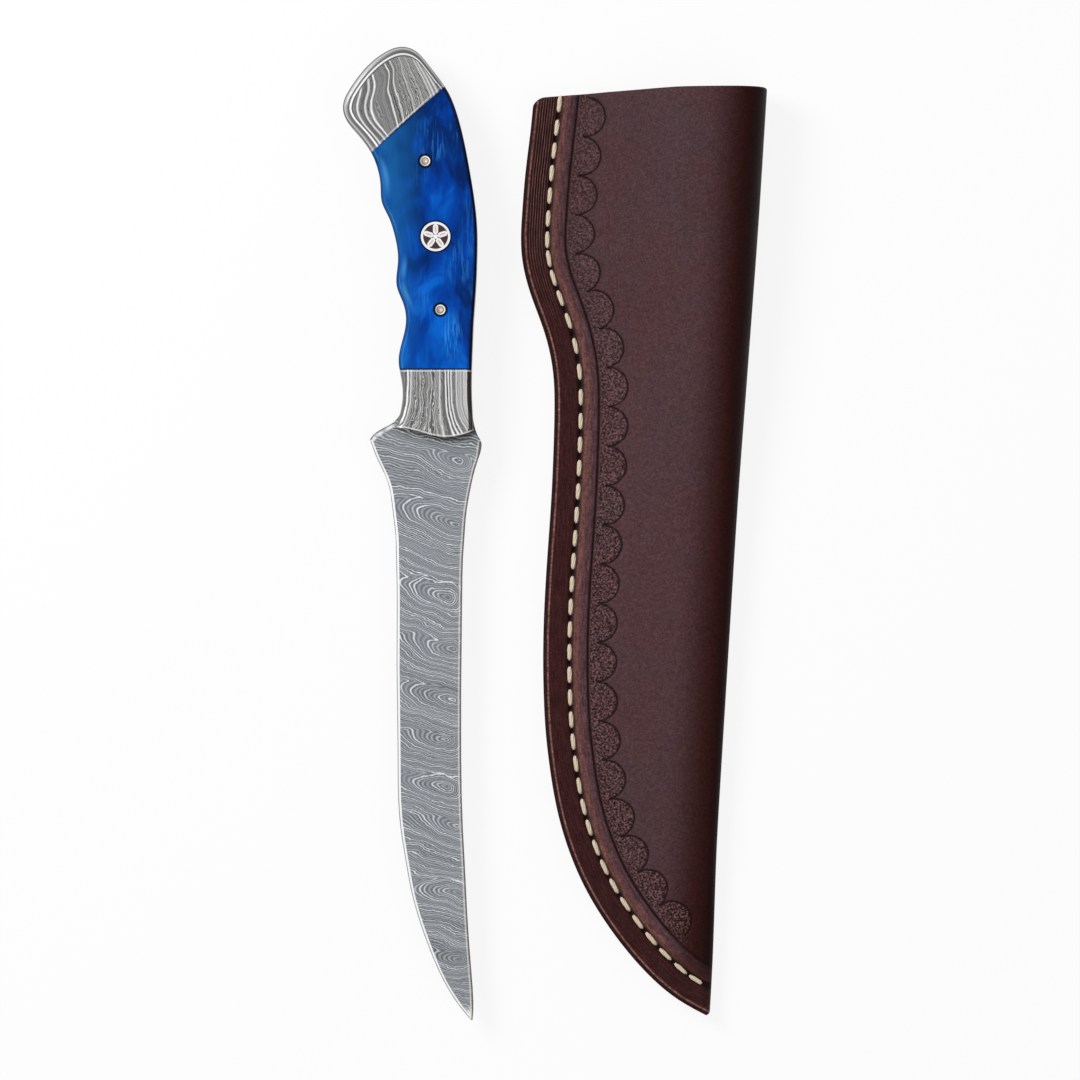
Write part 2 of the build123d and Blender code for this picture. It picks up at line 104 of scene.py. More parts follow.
# Places on the knife in mm: where the grip meets the front bolster, both ends of its slanted
# joint with the pommel, the middle and the corner of the heel, and the size of the blade.
GRIP_JOINT = 55.91
POMMEL_JOINT = (-60.5, 130.9), (-37.7, 151.7)
HEEL_X, HEEL_Y = -42.7, 32.05
HEEL_CORNER = [(-63.1, 32.1), (-61.5, 34.1), (-58.7, 35.9), (-54.7, 38.2)]
BLADE_LONG, BLADE_WIDE = 197.4, 21.6

# Edges that the finishes follow: node, axis on which the edge runs (0 for x, 1 for y), its
# near (-1) or far (1) side, both ends in mm, and the number of points between them.
EDGES = {
    "lip": ("front_bolster_right", 0, -1, -53.9, -27.9, 20),
    "bolster_right": ("front_bolster_right", 1, 1, 33.5, 55.8, 20),
    "blade_left": ("blade", 1, -1, -164.9, 31.5, 40),
    "blade_right": ("blade", 1, 1, -164.9, 31.5, 40),
    "pommel_left": ("pommel_bolster_right", 1, -1, 129.6, 165.1, 30),
    "pommel_right": ("pommel_bolster_right", 1, 1, 129.6, 165.1, 30),
    "pommel_top": ("pommel_bolster_right", 0, 1, -71.7, -37.6, 30),
    "grip_left": ("scale_right", 1, -1, 57.0, 150.0, 40),
}

# Eyes in the blade's steel: middle across from the heel's middle and along from the heel,
# as shares of the blade's width and length, and how high its layers rise in mm.
EYES = [
    (0.48, 0.034, 6.5), (0.43, 0.138, 15.0), (0.30, 0.265, 13.0), (0.39, 0.352, 12.0),
    (0.38, 0.443, 15.0), (0.27, 0.515, 12.5), (0.28, 0.600, 15.5), (0.44, 0.664, 14.5),
    (0.48, 0.784, 16.0), (0.49, 0.894, 11.0),
]
# Slope of the blade's layers across it.
SLANT = 0.19

# Clouds and bundles of fibres in the resin: middle and reach in mm, across and along, and
# how much lighter, or how strong.
CLOUDS = [
    (-38.0, 111.0, 11.0, 14.0, 0.20), (-33.5, 85.0, 7.0, 11.0, -0.16),
    (-46.0, 91.0, 10.0, 5.0, -0.09), (-53.0, 126.0, 8.0, 10.0, -0.15),
    (-47.0, 69.0, 7.0, 8.0, -0.08), (-43.0, 77.0, 9.0, 9.0, 0.08),
    (-35.0, 135.0, 6.0, 8.0, -0.05),
]
BUNDLES = [(-35.0, 67.0, 5.0, 11.0, 1.0), (-40.5, 131.0, 5.0, 8.0, 0.5)]
# Swells of the grip's edge that catch the light: middle and reach along it in mm.
SWELLS = [(122.0, 9.0), (90.0, 6.0), (81.5, 7.0)]


def tint(red, green, blue):
    """A colour written as it shows on a screen, from 0 to 255, as linear values."""
    return tuple(
        c / 12.92 if c <= 0.04045 else ((c + 0.055) / 1.055) ** 2.4
        for c in (red / 255, green / 255, blue / 255)
    )


def length(name, description, default):
    """A length that a user may change, given here in mm."""
    return FloatProperty(name=name, description=description, default=default * MM, unit="LENGTH")


def colour(name, description, *levels):
    """A colour that a user may change, given here as it shows on a screen."""
    return FloatVectorProperty(
        name=name, description=description, default=tint(*levels), subtype="COLOR", min=0, max=1
    )


class SheathSizes(bpy.types.PropertyGroup):
    """Sizes of the folded leather sheath."""

    long: length("Length", "From the tip to the mouth, along the fold", 316)
    wide: length("Width", "From the fold to the sewn edge at the mouth", 80)
    leather: length("Leather", "Thickness of the leather", 2.5)
    welt: length("Welt", "Thickness of the strip between the layers", 3.0)
    rise: length("Rise", "How far the mouth stands above the sewn border", 18)
    bow: length("Bow", "How far the fold bows in between its ends", 1.2)
    border: length("Border", "From the sewn edge to the crease", 15.2)
    edge_round: length("Edge round", "Radius of the burnished edges", 1.0)
    mouth_corner: length("Mouth corner", "Round where the mouth meets the sewn edge", 4.2)
    tip_round: length("Tip round", "Round of the fold at the tip", 1.2)
    stitch_inset: length("Stitch inset", "From the sewn edge to the stitches", 9.0)
    stitch_pitch: length("Stitch pitch", "From stitch to stitch", 7.89)
    stitch_long: length("Stitch length", "Length of one stitch that shows", 6.1)
    thread: length("Thread", "Width of the waxed thread", 1.65)
    tip_setback: length("Tip setback", "From the tip to the first stitch", 9.0)
    mouth_setback: length("Mouth setback", "From the seam's end to the last stitch", 11.0)
    stamp_inset: length("Stamp inset", "From the sewn edge to the middles of the stamps", 18.4)
    stamp_pitch: length("Stamp pitch", "From stamp to stamp", 13.4)
    stamp_radius: length("Stamp radius", "Radius of one half round stamp", 6.6)
    stamp_start: length("Stamp start", "From the mouth to the middle of the first stamp", 7.9)
    stamp_depth: length("Stamp depth", "Depth of the stamped outline", 0.45)


class SheathColours(bpy.types.PropertyGroup):
    """Colours of the sheath."""

    panel: colour("Panel", "Broad face of the leather", 80, 59, 63)
    warm: colour("Warm", "Redder clouds in the broad face", 84, 58, 60)
    # Partly dye, partly painted shade of the rounded fold.
    fold: colour("Fold", "Leather that darkens towards the fold", 48, 19, 16)
    flange: colour("Flange", "Dyed leather outside the stitches", 58, 29, 29)
    # The band is lighter and warmer on the raised bead's left flank and cooler towards the crease:
    # partly painted highlight and painted shade.
    band: colour("Band", "Rubbed band inside the stitches", 112, 74, 68)
    band_cool: colour("Cool band", "The band beside the crease", 90, 64, 69)
    # Also painted shade right at the fold.
    dark: colour("Dark", "Burnished edges, creases and the fold", 22, 8, 8)
    matting: colour("Matting", "Raised grains of the stamped matting", 122, 92, 88)
    rim: colour("Rim", "Rubbed rim of the mouth and of the sewn edge", 150, 112, 103)
    thread: colour("Thread", "Waxed thread", 232, 216, 190)


class KnifeColours(bpy.types.PropertyGroup):
    """Colours of the knife."""

    steel_dark: colour("Dark steel", "Etched layers that went dark", 84, 88, 92)
    steel_mid: colour("Mid steel", "Etched layers between", 124, 128, 134)
    steel_light: colour("Light steel", "Layers that stayed bright", 202, 204, 207)
    polished: colour("Polished steel", "Ground edge of the blade and the pins", 240, 241, 243)
    brass: colour("Brass", "Cores of the small pins", 200, 176, 160)
    resin: colour("Resin", "Main blue of the scales", 0, 62, 158)
    resin_deep: colour("Deep resin", "Navy clouds in the scales", 0, 38, 102)
    resin_pearl: colour("Pearl", "Light streaks in the scales", 8, 112, 222)
    resin_teal: colour("Teal resin", "Greener blue towards the edge side", 24, 96, 164)
    # Painted shade of the scales' rounded edges.
    resin_edge_shade: colour("Resin edge", "Nearly black blue round the edges", 2, 12, 44)
    filler: colour("Filler", "Dark resin of the mosaic pin", 74, 46, 42)


class StageSizes(bpy.types.PropertyGroup):
    """Camera and floor."""

    view_x: length("View middle X", "Middle of the view", -5.1)
    view_y: length("View middle Y", "Middle of the view", -2.0)
    view_wide: length("View width", "Width of the view at the object", 367.2)
    view_plane: length("View plane", "Height at which the view has this width", 12)
    lens: FloatProperty(name="Lens", description="Focal length in millimetres", default=220.0)
    floor: length("Floor", "Side of the square floor", 4000)


def math_call(operation, turned=False):
    """A call of a value that adds one math node, with the two numbers turned round or not."""

    def call(value, other=0.0):
        numbers = (other, value) if turned else (value, other)
        return value.recipe.math(operation, *numbers)

    return call


class Value:
    """A number in a node tree. Sums and products with it, and its calls, add nodes."""

    def __init__(self, recipe, socket):
        self.recipe = recipe
        self.socket = socket

    __add__ = math_call("ADD")
    __sub__ = math_call("SUBTRACT")
    __rsub__ = math_call("SUBTRACT", turned=True)
    __mul__ = math_call("MULTIPLY")
    __truediv__ = math_call("DIVIDE")
    __abs__ = math_call("ABSOLUTE")
    most = math_call("MAXIMUM")
    least = math_call("MINIMUM")
    sine = math_call("SINE")

    def span(self, low, high, to_low=0.0, to_high=1.0):
        """This number moved smoothly from one span to another, and held at its ends."""
        inputs = {0: self, 1: low, 2: high, 3: to_low, 4: to_high}
        node = self.recipe.add("ShaderNodeMapRange", inputs, interpolation_type="SMOOTHSTEP")
        return Value(self.recipe, node.outputs[0])

    def peak(self, middle, reach):
        """One at the middle, falling smoothly to zero at this reach on both sides."""
        return abs(self - middle).span(reach, 0.0)

    def noise(self, scale, detail):
        """Noise along this number."""
        inputs = {"W": self * scale, "Scale": 1.0, "Detail": detail}
        node = self.recipe.add("ShaderNodeTexNoise", inputs, noise_dimensions="1D")
        return Value(self.recipe, node.outputs["Fac"])


class Recipe:
    """Node tree of a material or of the sky, with short calls that add and join nodes."""

    def __init__(self, owner):
        owner.use_nodes = True
        self.owner = owner
        self.tree = owner.node_tree
        self.tree.nodes.clear()

    def add(self, kind, inputs=None, **settings):
        """A node of this kind, with its settings and what goes into its sockets."""
        node = self.tree.nodes.new(kind)
        for name, value in settings.items():
            setattr(node, name, value)
        for socket, value in (inputs or {}).items():
            self.feed(node.inputs[socket], value)
        return node

    def feed(self, socket, value):
        """Links a socket to another one, or sets its value."""
        if isinstance(value, Value):
            value = value.socket
        if isinstance(value, bpy.types.NodeSocket):
            self.tree.links.new(value, socket)
        elif socket.type == "RGBA" and len(value) == 3:
            socket.default_value = (*value, 1.0)
        else:
            socket.default_value = value

    def math(self, operation, first, second=0.0, third=0.0, clamp=False):
        """A number worked out from up to three others."""
        inputs = {0: first, 1: second, 2: third}
        node = self.add("ShaderNodeMath", inputs, operation=operation, use_clamp=clamp)
        return Value(self, node.outputs[0])

    def seen(self):
        """One where the floor or the sky is seen, directly or in a reflection."""
        rays = self.add("ShaderNodeLightPath").outputs
        most = self.math("MAXIMUM", rays["Is Camera Ray"], rays["Is Glossy Ray"])
        return most.most(rays["Is Transmission Ray"])

    def end(self, kind, shader):
        """Joins the last shader to the output, and gives back what the tree belongs to."""
        self.add(kind, {0: shader.outputs[0]})
        return self.owner


class Finish(Recipe):
    """Material of a piece, with its colour laid on in steps. All lengths are in mm."""

    def __init__(self, name, shade=None):
        super().__init__(bpy.data.materials.new(name))
        self.shade = shade
        metres = self.add("ShaderNodeTexCoord").outputs["Object"]
        self.place = self.scaled(metres, (1 / MM, 1 / MM, 1 / MM))
        self.x, self.y, self.z = self.split(self.place)

    def scaled(self, vector, factors):
        """A vector with each part multiplied by its own factor."""
        inputs = {0: vector, 1: factors}
        return self.add("ShaderNodeVectorMath", inputs, operation="MULTIPLY").outputs[0]

    def attribute(self, name):
        """The three parts of a vector that the mesh carries under this name."""
        return self.split(self.add("ShaderNodeAttribute", attribute_name=name).outputs["Vector"])

    def split(self, vector):
        """The three parts of a vector."""
        parts = self.add("ShaderNodeSeparateXYZ", {0: vector}).outputs
        return [Value(self, part) for part in parts]

    def join(self, x, y, z=0.0):
        """A vector from its three parts."""
        return self.add("ShaderNodeCombineXYZ", {0: x, 1: y, 2: z}).outputs[0]

    def reach(self, x, y, z=0.0):
        """Length of a vector with these parts."""
        inputs = {0: self.join(x, y, z)}
        node = self.add("ShaderNodeVectorMath", inputs, operation="LENGTH")
        return Value(self, node.outputs["Value"])

    def noise(self, scale, detail=3.0, rough=0.5, warp=0.0, stretch=(1, 1, 1), place=None):
        """Noise at each point. A low stretch draws it out along that axis."""
        place = self.scaled(
            self.place if place is None else place, [scale * part for part in stretch]
        )
        inputs = {
            "Vector": place, "Scale": 1.0, "Detail": detail, "Roughness": rough,
            "Distortion": warp,
        }
        return Value(self, self.add("ShaderNodeTexNoise", inputs).outputs["Fac"])

    def blend(self, share, first, second, kind="MIX"):
        """A colour between two colours, or their product."""
        inputs = {0: share, 6: first, 7: second}
        node = self.add("ShaderNodeMix", inputs, data_type="RGBA", blend_type=kind)
        return node.outputs[2]

    def paint(self, share, colour):
        """Lays a colour over the colour so far."""
        self.shade = self.blend(share, self.shade, colour)

    def stain(self, share, colour):
        """Multiplies the colour so far by another one."""
        self.shade = self.blend(share, self.shade, colour, "MULTIPLY")

    def greys(self, value, low, high, levels):
        """A grey that changes along a number, from a list of places and levels."""
        node = self.add("ShaderNodeValToRGB", {0: (value - low) / (high - low)})
        stops = node.color_ramp.elements
        for index, (place, level) in enumerate(levels):
            share = (place - low) / (high - low)
            stop = stops[index] if index < 2 else stops.new(share)
            stop.position = share
            stop.color = (*tint(level, level, level), 1.0)
        return node.outputs[0]

    def outline(self, edge):
        """Where one of the edges lies, beside the point that is shaded."""
        node_name, along, side, low, high, count = EDGES[edge]
        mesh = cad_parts[node_name].data
        spots = np.empty(len(mesh.vertices) * 3)
        mesh.vertices.foreach_get("co", spots)
        ends = np.empty(len(mesh.edges) * 2, dtype=np.int32)
        mesh.edges.foreach_get("vertices", ends)
        spots = spots.reshape(-1, 3) / MM
        start, stop = spots[ends.reshape(-1, 2)].transpose(1, 0, 2)
        run = stop - start
        flat = run[:, along] == 0
        limits = []
        for place in np.linspace(low, high, count):
            ahead = place - start[:, along]
            share = np.where(flat, -1, ahead / np.where(flat, 1, run[:, along]))
            cut = (share > 0) & (share < 1)
            across = start[cut, 1 - along] + share[cut] * run[cut, 1 - along]
            limits.append(across.max() if side > 0 else across.min())
        least, most = min(limits), max(limits)
        moved = ((self.x, self.y)[along] - low) / (high - low)
        node = self.add("ShaderNodeFloatCurve", {"Value": moved})
        points = node.mapping.curves[0].points
        for index, limit in enumerate(limits):
            spot = (index / (count - 1), (limit - least) / (most - least))
            if index in (0, count - 1):
                points[0 if index == 0 else -1].location = spot
            else:
                points.new(*spot)
        for point in points:
            point.handle_type = "VECTOR"
        node.mapping.update()
        return Value(self, node.outputs[0]) * (most - least) + least

    def line_beside(self, start, end, inset, reach):
        """One on a straight line beside the way from start to end, on its right hand side."""
        way = Vector(end) - Vector(start)
        run = way.normalized()
        across, up = self.x - start[0], self.y - start[1]
        depth = across * run.y - up * run.x
        ahead = across * run.x + up * run.y
        return depth.peak(inset, reach) * ahead.peak(way.length / 2, way.length * 0.75)

    def facing(self, kind="Normal"):
        """How much the surface faces right, and how level it lies."""
        right, _, up = self.split(self.add("ShaderNodeNewGeometry").outputs[kind])
        return right, abs(up)

    def spot(self, x, y, wide, tall):
        """One in the middle of a round cloud, falling smoothly to zero at its edge."""
        reach = self.reach((self.x - x) / wide, (self.y - y) / tall)
        return reach.span(1.0, 0.1)

    def bump(self, height, distance, strength):
        """A surface direction that lets heights show without moving any point."""
        inputs = {"Height": height, "Distance": distance * MM, "Strength": strength}
        return self.add("ShaderNodeBump", inputs).outputs[0]

    def finish(self, **inputs):
        """Ends the material in one surface, whose socket names have _ for a space."""
        surface = self.add("ShaderNodeBsdfPrincipled", {"Base Color": self.shade})
        for name, value in inputs.items():
            self.feed(surface.inputs[name.replace("_", " ")], value)
        return self.end("ShaderNodeOutputMaterial", surface)


def dress(node_names, material):
    """Gives nodes of the frame their finish."""
    for node_name in node_names:
        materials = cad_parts[node_name].data.materials
        materials.clear()
        materials.append(material)


def round_place(node_name):
    """Middle across and along, and radius, of a round node, in mm."""
    low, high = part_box(node_name)
    middle = (low + high) / (2 * MM)
    return middle.x, middle.y, (high.x - low.x) / (2 * MM)


def add_object(name, data):
    """An object of the scene around this data."""
    item = bpy.data.objects.new(name, data)
    bpy.context.scene.collection.objects.link(item)
    return item


def add_mesh(name, bm, smooth):
    """An object of the scene around a finished mesh."""
    mesh = bpy.data.meshes.new(name)
    bm.to_mesh(mesh)
    bm.free()
    for face in mesh.polygons:
        face.use_smooth = smooth
    return add_object(name, mesh)


def smooth_through(knots, values, places):
    """Values of a natural cubic curve through points, at other places."""
    knots, values = np.asarray(knots, float), np.asarray(values, float)
    gap = np.diff(knots)
    slope = np.diff(values) / gap
    count = len(knots)
    system = np.eye(count)
    right = np.zeros(count)
    for i in range(1, count - 1):
        system[i, i - 1 : i + 2] = (gap[i - 1], 2 * (gap[i - 1] + gap[i]), gap[i])
        right[i] = 6 * (slope[i] - slope[i - 1])
    bend = np.linalg.solve(system, right)
    i = np.clip(np.searchsorted(knots, places) - 1, 0, count - 2)
    after = places - knots[i]
    before = knots[i + 1] - places
    return (
        (bend[i] * before**3 + bend[i + 1] * after**3) / (6 * gap[i])
        + (values[i] / gap[i] - bend[i] * gap[i] / 6) * before
        + (values[i + 1] / gap[i] - bend[i + 1] * gap[i] / 6) * after
    )


def curve(t, start, pull_start, pull_end, end):
    """Places on a cubic curve, from its ends and the two numbers that pull it."""
    s = 1 - t
    return start * s**3 + 3 * pull_start * t * s**2 + 3 * pull_end * t**2 * s + end * t**3


class SheathForm:
    """Shape of the folded sheath, worked out from its sizes in its own flat frame: x from
    the fold to the sewn edge as a negative number, y from the tip to the mouth."""

    samples = 2400
    tilt = math.radians(3.5)
    start_x, start_y = 52.8 * MM, -163.95 * MM

    def __init__(self, sizes):
        self.sizes = sizes
        self.stack = 2 * sizes.leather + sizes.welt
        points = np.array(SEAM_SHARES) * (sizes.wide, sizes.long)
        chord = self.measure(points)
        fine = np.linspace(0, chord[-1], self.samples)
        self.seam = np.stack([smooth_through(chord, points[:, i], fine) for i in (0, 1)], axis=1)
        self.run = run = np.gradient(self.seam, axis=0)
        run /= np.linalg.norm(run, axis=1)[:, None]
        self.inward = np.stack([run[:, 1], -run[:, 0]], axis=1)
        self.seam_length = self.measure(self.seam)
        border = self.beside(sizes.border)
        self.share = self.seam_length / self.seam_length[-1]
        station, rise, bow = np.array(POUCH_SHARES).T
        self.pouch_y = np.interp(station, self.share, border[:, 1])
        self.pouch_y[0] = 0
        self.mouth_x, self.mouth_y = (np.array(MOUTH_SHARES) * (sizes.wide, sizes.long)).T
        self.rise = rise * sizes.rise
        self.bow = bow * sizes.bow
        stamps = self.beside(sizes.stamp_inset)
        mouth_y = self.mouth_at(stamps[:, 0])
        along = self.measure(stamps)
        self.stamp_run = np.interp(0, stamps[:, 1] - mouth_y, along) - along

    @staticmethod
    def measure(line):
        """Length along a line up to each of its points."""
        return np.concatenate([[0], np.cumsum(np.hypot(*np.diff(line, axis=0).T))])

    def beside(self, inset):
        """Line beside the sewn edge."""
        return self.seam + self.inward * inset

    def mouth_at(self, x):
        """Height of the mouth's line over the tip, at places across the sheath."""
        round_start = self.mouth_x[0] + self.sizes.mouth_corner
        share = np.clip((round_start - x) / self.sizes.mouth_corner, 0, 1)
        line = np.interp(x, self.mouth_x, self.mouth_y)
        return line - self.sizes.mouth_corner * (1 - np.sqrt(1 - share**2))

    def across(self, inset, y):
        """Place of the line at this inset, where it crosses these heights."""
        line = self.beside(inset)
        return np.interp(y, line[:, 1], line[:, 0])

    def seam_place(self, x, y):
        """Distance from the sewn edge, and distance from the mouth along the stamps."""
        inset, along = np.zeros(x.size), np.zeros(x.size)
        seam, runs = self.seam[::3], self.stamp_run[::3]
        flat = np.stack([x.ravel(), y.ravel()], axis=1)
        for start in range(0, len(flat), 4000):
            block = flat[start : start + 4000]
            away = np.hypot(block[:, :1] - seam[:, 0], block[:, 1:] - seam[:, 1])
            nearest = away.argmin(axis=1)
            inset[start : start + 4000] = away[np.arange(len(block)), nearest]
            along[start : start + 4000] = runs[nearest]
        return inset.reshape(x.shape), along.reshape(x.shape)

    def row_shape(self, y):
        """Top of the pouch, right side of the fold and start of its round at a height."""
        top = self.stack + smooth_through(self.pouch_y, self.rise, y)
        right = -smooth_through(self.pouch_y, self.bow, y)
        tip = self.sizes.tip_round
        right = right - tip + np.sqrt(tip**2 - np.clip(tip - y, 0, tip) ** 2)
        crown = np.maximum(right - 0.5 * top, (self.across(0, y) + right) / 2)
        return top, right, crown

    def lifted(self, x, y, setback=0.0):
        """Heights of a row of points, which starts level and ends along the mouth."""
        end = self.mouth_y[0]
        level = 0.86 * end
        return y + ease((y - level) / (end - level)) * (self.mouth_at(x) - setback - end)

    def front_height(self, x, left, crown, top, wall=0.0):
        """Height of the front above the surface, between the border and the fold."""
        t = np.linspace(0, 1, 80)
        run = crown - left
        if run < self.sizes.edge_round:
            return np.full(x.shape, top - wall)
        low, high = self.stack - wall, top - wall
        line_x = curve(t, left, left + 0.34 * run, crown - 0.5 * run, crown)
        return np.interp(x, line_x, curve(t, low, low, high, high))

    @staticmethod
    def fold_round(crown, right, top, wall, steps):
        """Points round the fold, from the front to the back."""
        t = np.linspace(0, 1, steps + 2)[1:-1]
        pull = max(right - wall + (right - wall - crown) / 3, crown)
        high = top - wall
        return curve(t, crown, pull, pull, crown), curve(t, high, high, wall, wall)

    def place(self, x, y, z):
        """A point of the sheath in the shared frame."""
        return (
            self.start_x + x * math.cos(self.tilt) + y * math.sin(self.tilt),
            self.start_y - x * math.sin(self.tilt) + y * math.cos(self.tilt),
            z,
        )

    def stitches(self):
        """Places of the stitches along the seam, as shares of its length."""
        sizes = self.sizes
        whole = self.seam_length[-1]
        count = round((whole - sizes.tip_setback - sizes.mouth_setback) / sizes.stitch_pitch) + 1
        return [(sizes.tip_setback + i * sizes.stitch_pitch) / whole for i in range(count)]

    def holes(self):
        """Middles of the stitching holes."""
        step = self.sizes.stitch_pitch / self.seam_length[-1] / 2
        shares = [share - step for share in self.stitches()]
        shares.append(shares[-1] + 2 * step)
        line = self.beside(self.sizes.stitch_inset)
        return [[np.interp(share, self.share, line[:, i]) for i in (0, 1)] for share in shares]


def ease(share):
    """A share between zero and one, that starts and ends smoothly."""
    share = np.clip(share, 0, 1)
    return share * share * (3 - 2 * share)


def dip(away, reach):
    """One at zero, falling smoothly to zero at the reach."""
    return ease(1 - np.abs(away) / reach)


def closed_wall(name, places, attribute=None):
    """A wall made of a grid that closes on itself across, with its two ends filled."""
    rows, columns = places.shape[:2]
    bm = bmesh.new()
    bmesh.ops.create_grid(bm, x_segments=columns, y_segments=rows - 1, size=1)
    layer = bm.verts.layers.float_vector.new("sheath_place") if attribute is not None else None
    for vert in bm.verts:
        column = round((vert.co.x + 1) / 2 * columns) % columns
        row = round((vert.co.y + 1) / 2 * (rows - 1))
        vert.co = places[row, column]
        if layer is not None:
            vert[layer] = attribute[row, column]
    bmesh.ops.remove_doubles(bm, verts=bm.verts, dist=0.02 * MM)
    open_edges = [edge for edge in bm.edges if edge.is_boundary]
    bmesh.ops.triangle_fill(bm, use_beauty=True, use_dissolve=False, edges=open_edges)
    bmesh.ops.recalc_face_normals(bm, faces=bm.faces)
    return add_mesh(name, bm, True)


def add_floor(sizes, gap=0.1 * MM, glow=0.87):
    """A floor just under the pieces, which looks like lit white paper."""
    bm = bmesh.new()
    bmesh.ops.create_grid(bm, x_segments=4, y_segments=4, size=sizes.floor / 2)
    bmesh.ops.translate(bm, verts=bm.verts, vec=(0, 0, -gap))
    floor = add_mesh("floor", bm, False)
    recipe = Recipe(bpy.data.materials.new("pale_floor"))
    paper = recipe.add("ShaderNodeBsdfDiffuse", {"Color": tint(250, 250, 250)})
    white = recipe.add("ShaderNodeEmission", {"Color": (1, 1, 1), "Strength": 1.0})
    shaders = {0: recipe.seen() * glow, 1: paper.outputs[0], 2: white.outputs[0]}
    blend = recipe.add("ShaderNodeMixShader", shaders)
    floor.data.materials.append(recipe.end("ShaderNodeOutputMaterial", blend))


def add_sky(scene, light=0.36):
    """A sky that looks white, and lights the pieces less than it looks."""
    recipe = Recipe(bpy.data.worlds.new("pale_sky"))
    strength = recipe.seen().span(0.0, 1.0, light, 1.0)
    sky = recipe.add("ShaderNodeBackground", {"Color": (1, 1, 1), "Strength": strength})
    scene.world = recipe.end("ShaderNodeOutputWorld", sky)


def add_lamp(name, place, size, power):
    """A square lamp that points to the middle of the frame."""
    lamp_data = bpy.data.lights.new(name, "AREA")
    lamp_data.size = size
    lamp_data.energy = power
    lamp = add_object(name, lamp_data)
    lamp.location = place
    lamp.rotation_euler = (-Vector(place)).to_track_quat("-Z", "Y").to_euler()


class FILLET_OT_stage(bpy.types.Operator):
    """Adds the floor, the soft light and the camera that looks straight down"""

    bl_idname = "fillet.stage"
    bl_label = "Stage"

    def execute(self, context):
        scene, sizes = context.scene, context.scene.fillet_stage
        add_floor(sizes)
        add_sky(scene)
        add_lamp("key_lamp", (-0.80, 0.60, 1.00), 0.55, 13.5)
        add_lamp("fill_lamp", (0.55, -0.5, 1.3), 0.9, 2.5)
        camera_data = bpy.data.cameras.new("camera")
        camera_data.lens = sizes.lens
        distance = sizes.lens / camera_data.sensor_width * sizes.view_wide
        camera_data.clip_end = 3 * distance
        scene.camera = add_object("camera", camera_data)
        scene.camera.location = (sizes.view_x, sizes.view_y, sizes.view_plane + distance)
        scene.view_settings.view_transform = "Standard"
        return {"FINISHED"}


def steel_surface(steel, layers, rough):
    """Etched steel, whose layers stand up a little."""
    normal = steel.bump(layers.noise(0.9, 2.0), 0.02, 0.25)
    return steel.finish(Metallic=0.75, Roughness=rough, Normal=normal)


def blade_layers(steel):
    """Place in the stack of layers: level lines that swell up at the eyes."""
    across, along = steel.x - HEEL_X, steel.y - HEEL_Y
    place = steel.join(across, along, steel.z)
    sway = steel.noise(0.045, 2.0, place=place) - 0.5
    ripple = steel.noise(0.24, 3.0, 0.6, stretch=(0.7, 1.3, 0), place=place) - 0.5
    level = across * SLANT + along + sway * 9 + ripple * 2.2
    left_steep, right_steep, steep, top_round, softness = 0.34, 0.8, 1.6, 0.5, 1.6
    layers = level
    for wide_share, long_share, rise in EYES:
        middle = SLANT * wide_share * BLADE_WIDE - long_share * BLADE_LONG
        aside = across - wide_share * BLADE_WIDE
        aside = (aside * -left_steep).most(aside * right_steep)
        eye = steel.reach(aside, level - middle, top_round) * -steep + (middle + rise)
        layers = steel.math("SMOOTH_MAX", layers, eye, softness)
    return layers


def etch_blade(steel, layers, colours, pitch=0.86):
    """Dark and light lines along the layers."""
    wave = (layers * (2 * math.pi / pitch)).sine()
    accent = layers.noise(0.45 / pitch, 1.0)
    broad = layers.noise(0.12 / pitch, 1.0)
    dark = wave.span(0.0, -0.9) * broad.span(0.3, 0.7, 0.35, 0.9)
    light = wave.span(0.15, 0.95) * accent.span(0.42, 0.64, 0.15, 1.0)
    steel.paint(dark, colours.steel_dark)
    steel.paint(light, colours.steel_light)


class FILLET_OT_blade(bpy.types.Operator):
    """Gives the blade its layered steel and its polished edge"""

    bl_idname = "fillet.blade"
    bl_label = "Blade"

    def execute(self, context):
        colours = context.scene.fillet_knife
        steel = Finish("layered_blade_steel", colours.steel_mid)
        layers = blade_layers(steel)
        etch_blade(steel, layers, colours)
        side, level = steel.facing("True Normal")
        upright = level.span(0.5, 0.3)
        polish = steel.math("SUBTRACT", side.span(-0.06, -0.09), upright, clamp=True)
        below = steel.y.span(31.9, 31.2)
        left = steel.x - steel.outline("blade_left")
        right = steel.outline("blade_right") - steel.x
        outer = below * left.span(0.4, 0.2)
        for start, end in zip(HEEL_CORNER, HEEL_CORNER[1:]):
            polish = polish.most(steel.line_beside(start, end, 1.0, 0.9))
            outer = outer.most(steel.line_beside(start, end, 0.0, 0.6))
        # Painted shadow that the front bolster casts on the blade just below its lip, stronger
        # towards the spine side.
        painted_lip_shadow = (steel.outline("lip") - steel.y).span(0.2, 2.4, 0.8, 0.0)
        steel.stain(painted_lip_shadow * steel.x.span(-54, -36, 0.35, 1.0), (0.16, 0.15, 0.14))
        steel.paint(polish, colours.polished)
        steel.paint(outer * 0.85, tint(120, 120, 118))
        # Painted highlight along the spine's edge, and painted shade on the spine's outermost strip.
        steel.paint(below * right.peak(0.85, 0.45) * 0.6, tint(214, 210, 202))
        steel.paint(below * right.span(0.6, 0.35) * 0.85, tint(84, 76, 70))
        steel.paint(upright, tint(70, 64, 60))
        dress(["blade"], steel_surface(steel, layers, polish.span(0, 1, 0.42, 0.22)))
        return {"FINISHED"}


# The dark line of a glued joint, and the light that its edge catches.
JOINT_DARK, JOINT_LIGHT = tint(30, 30, 40), tint(206, 208, 226)


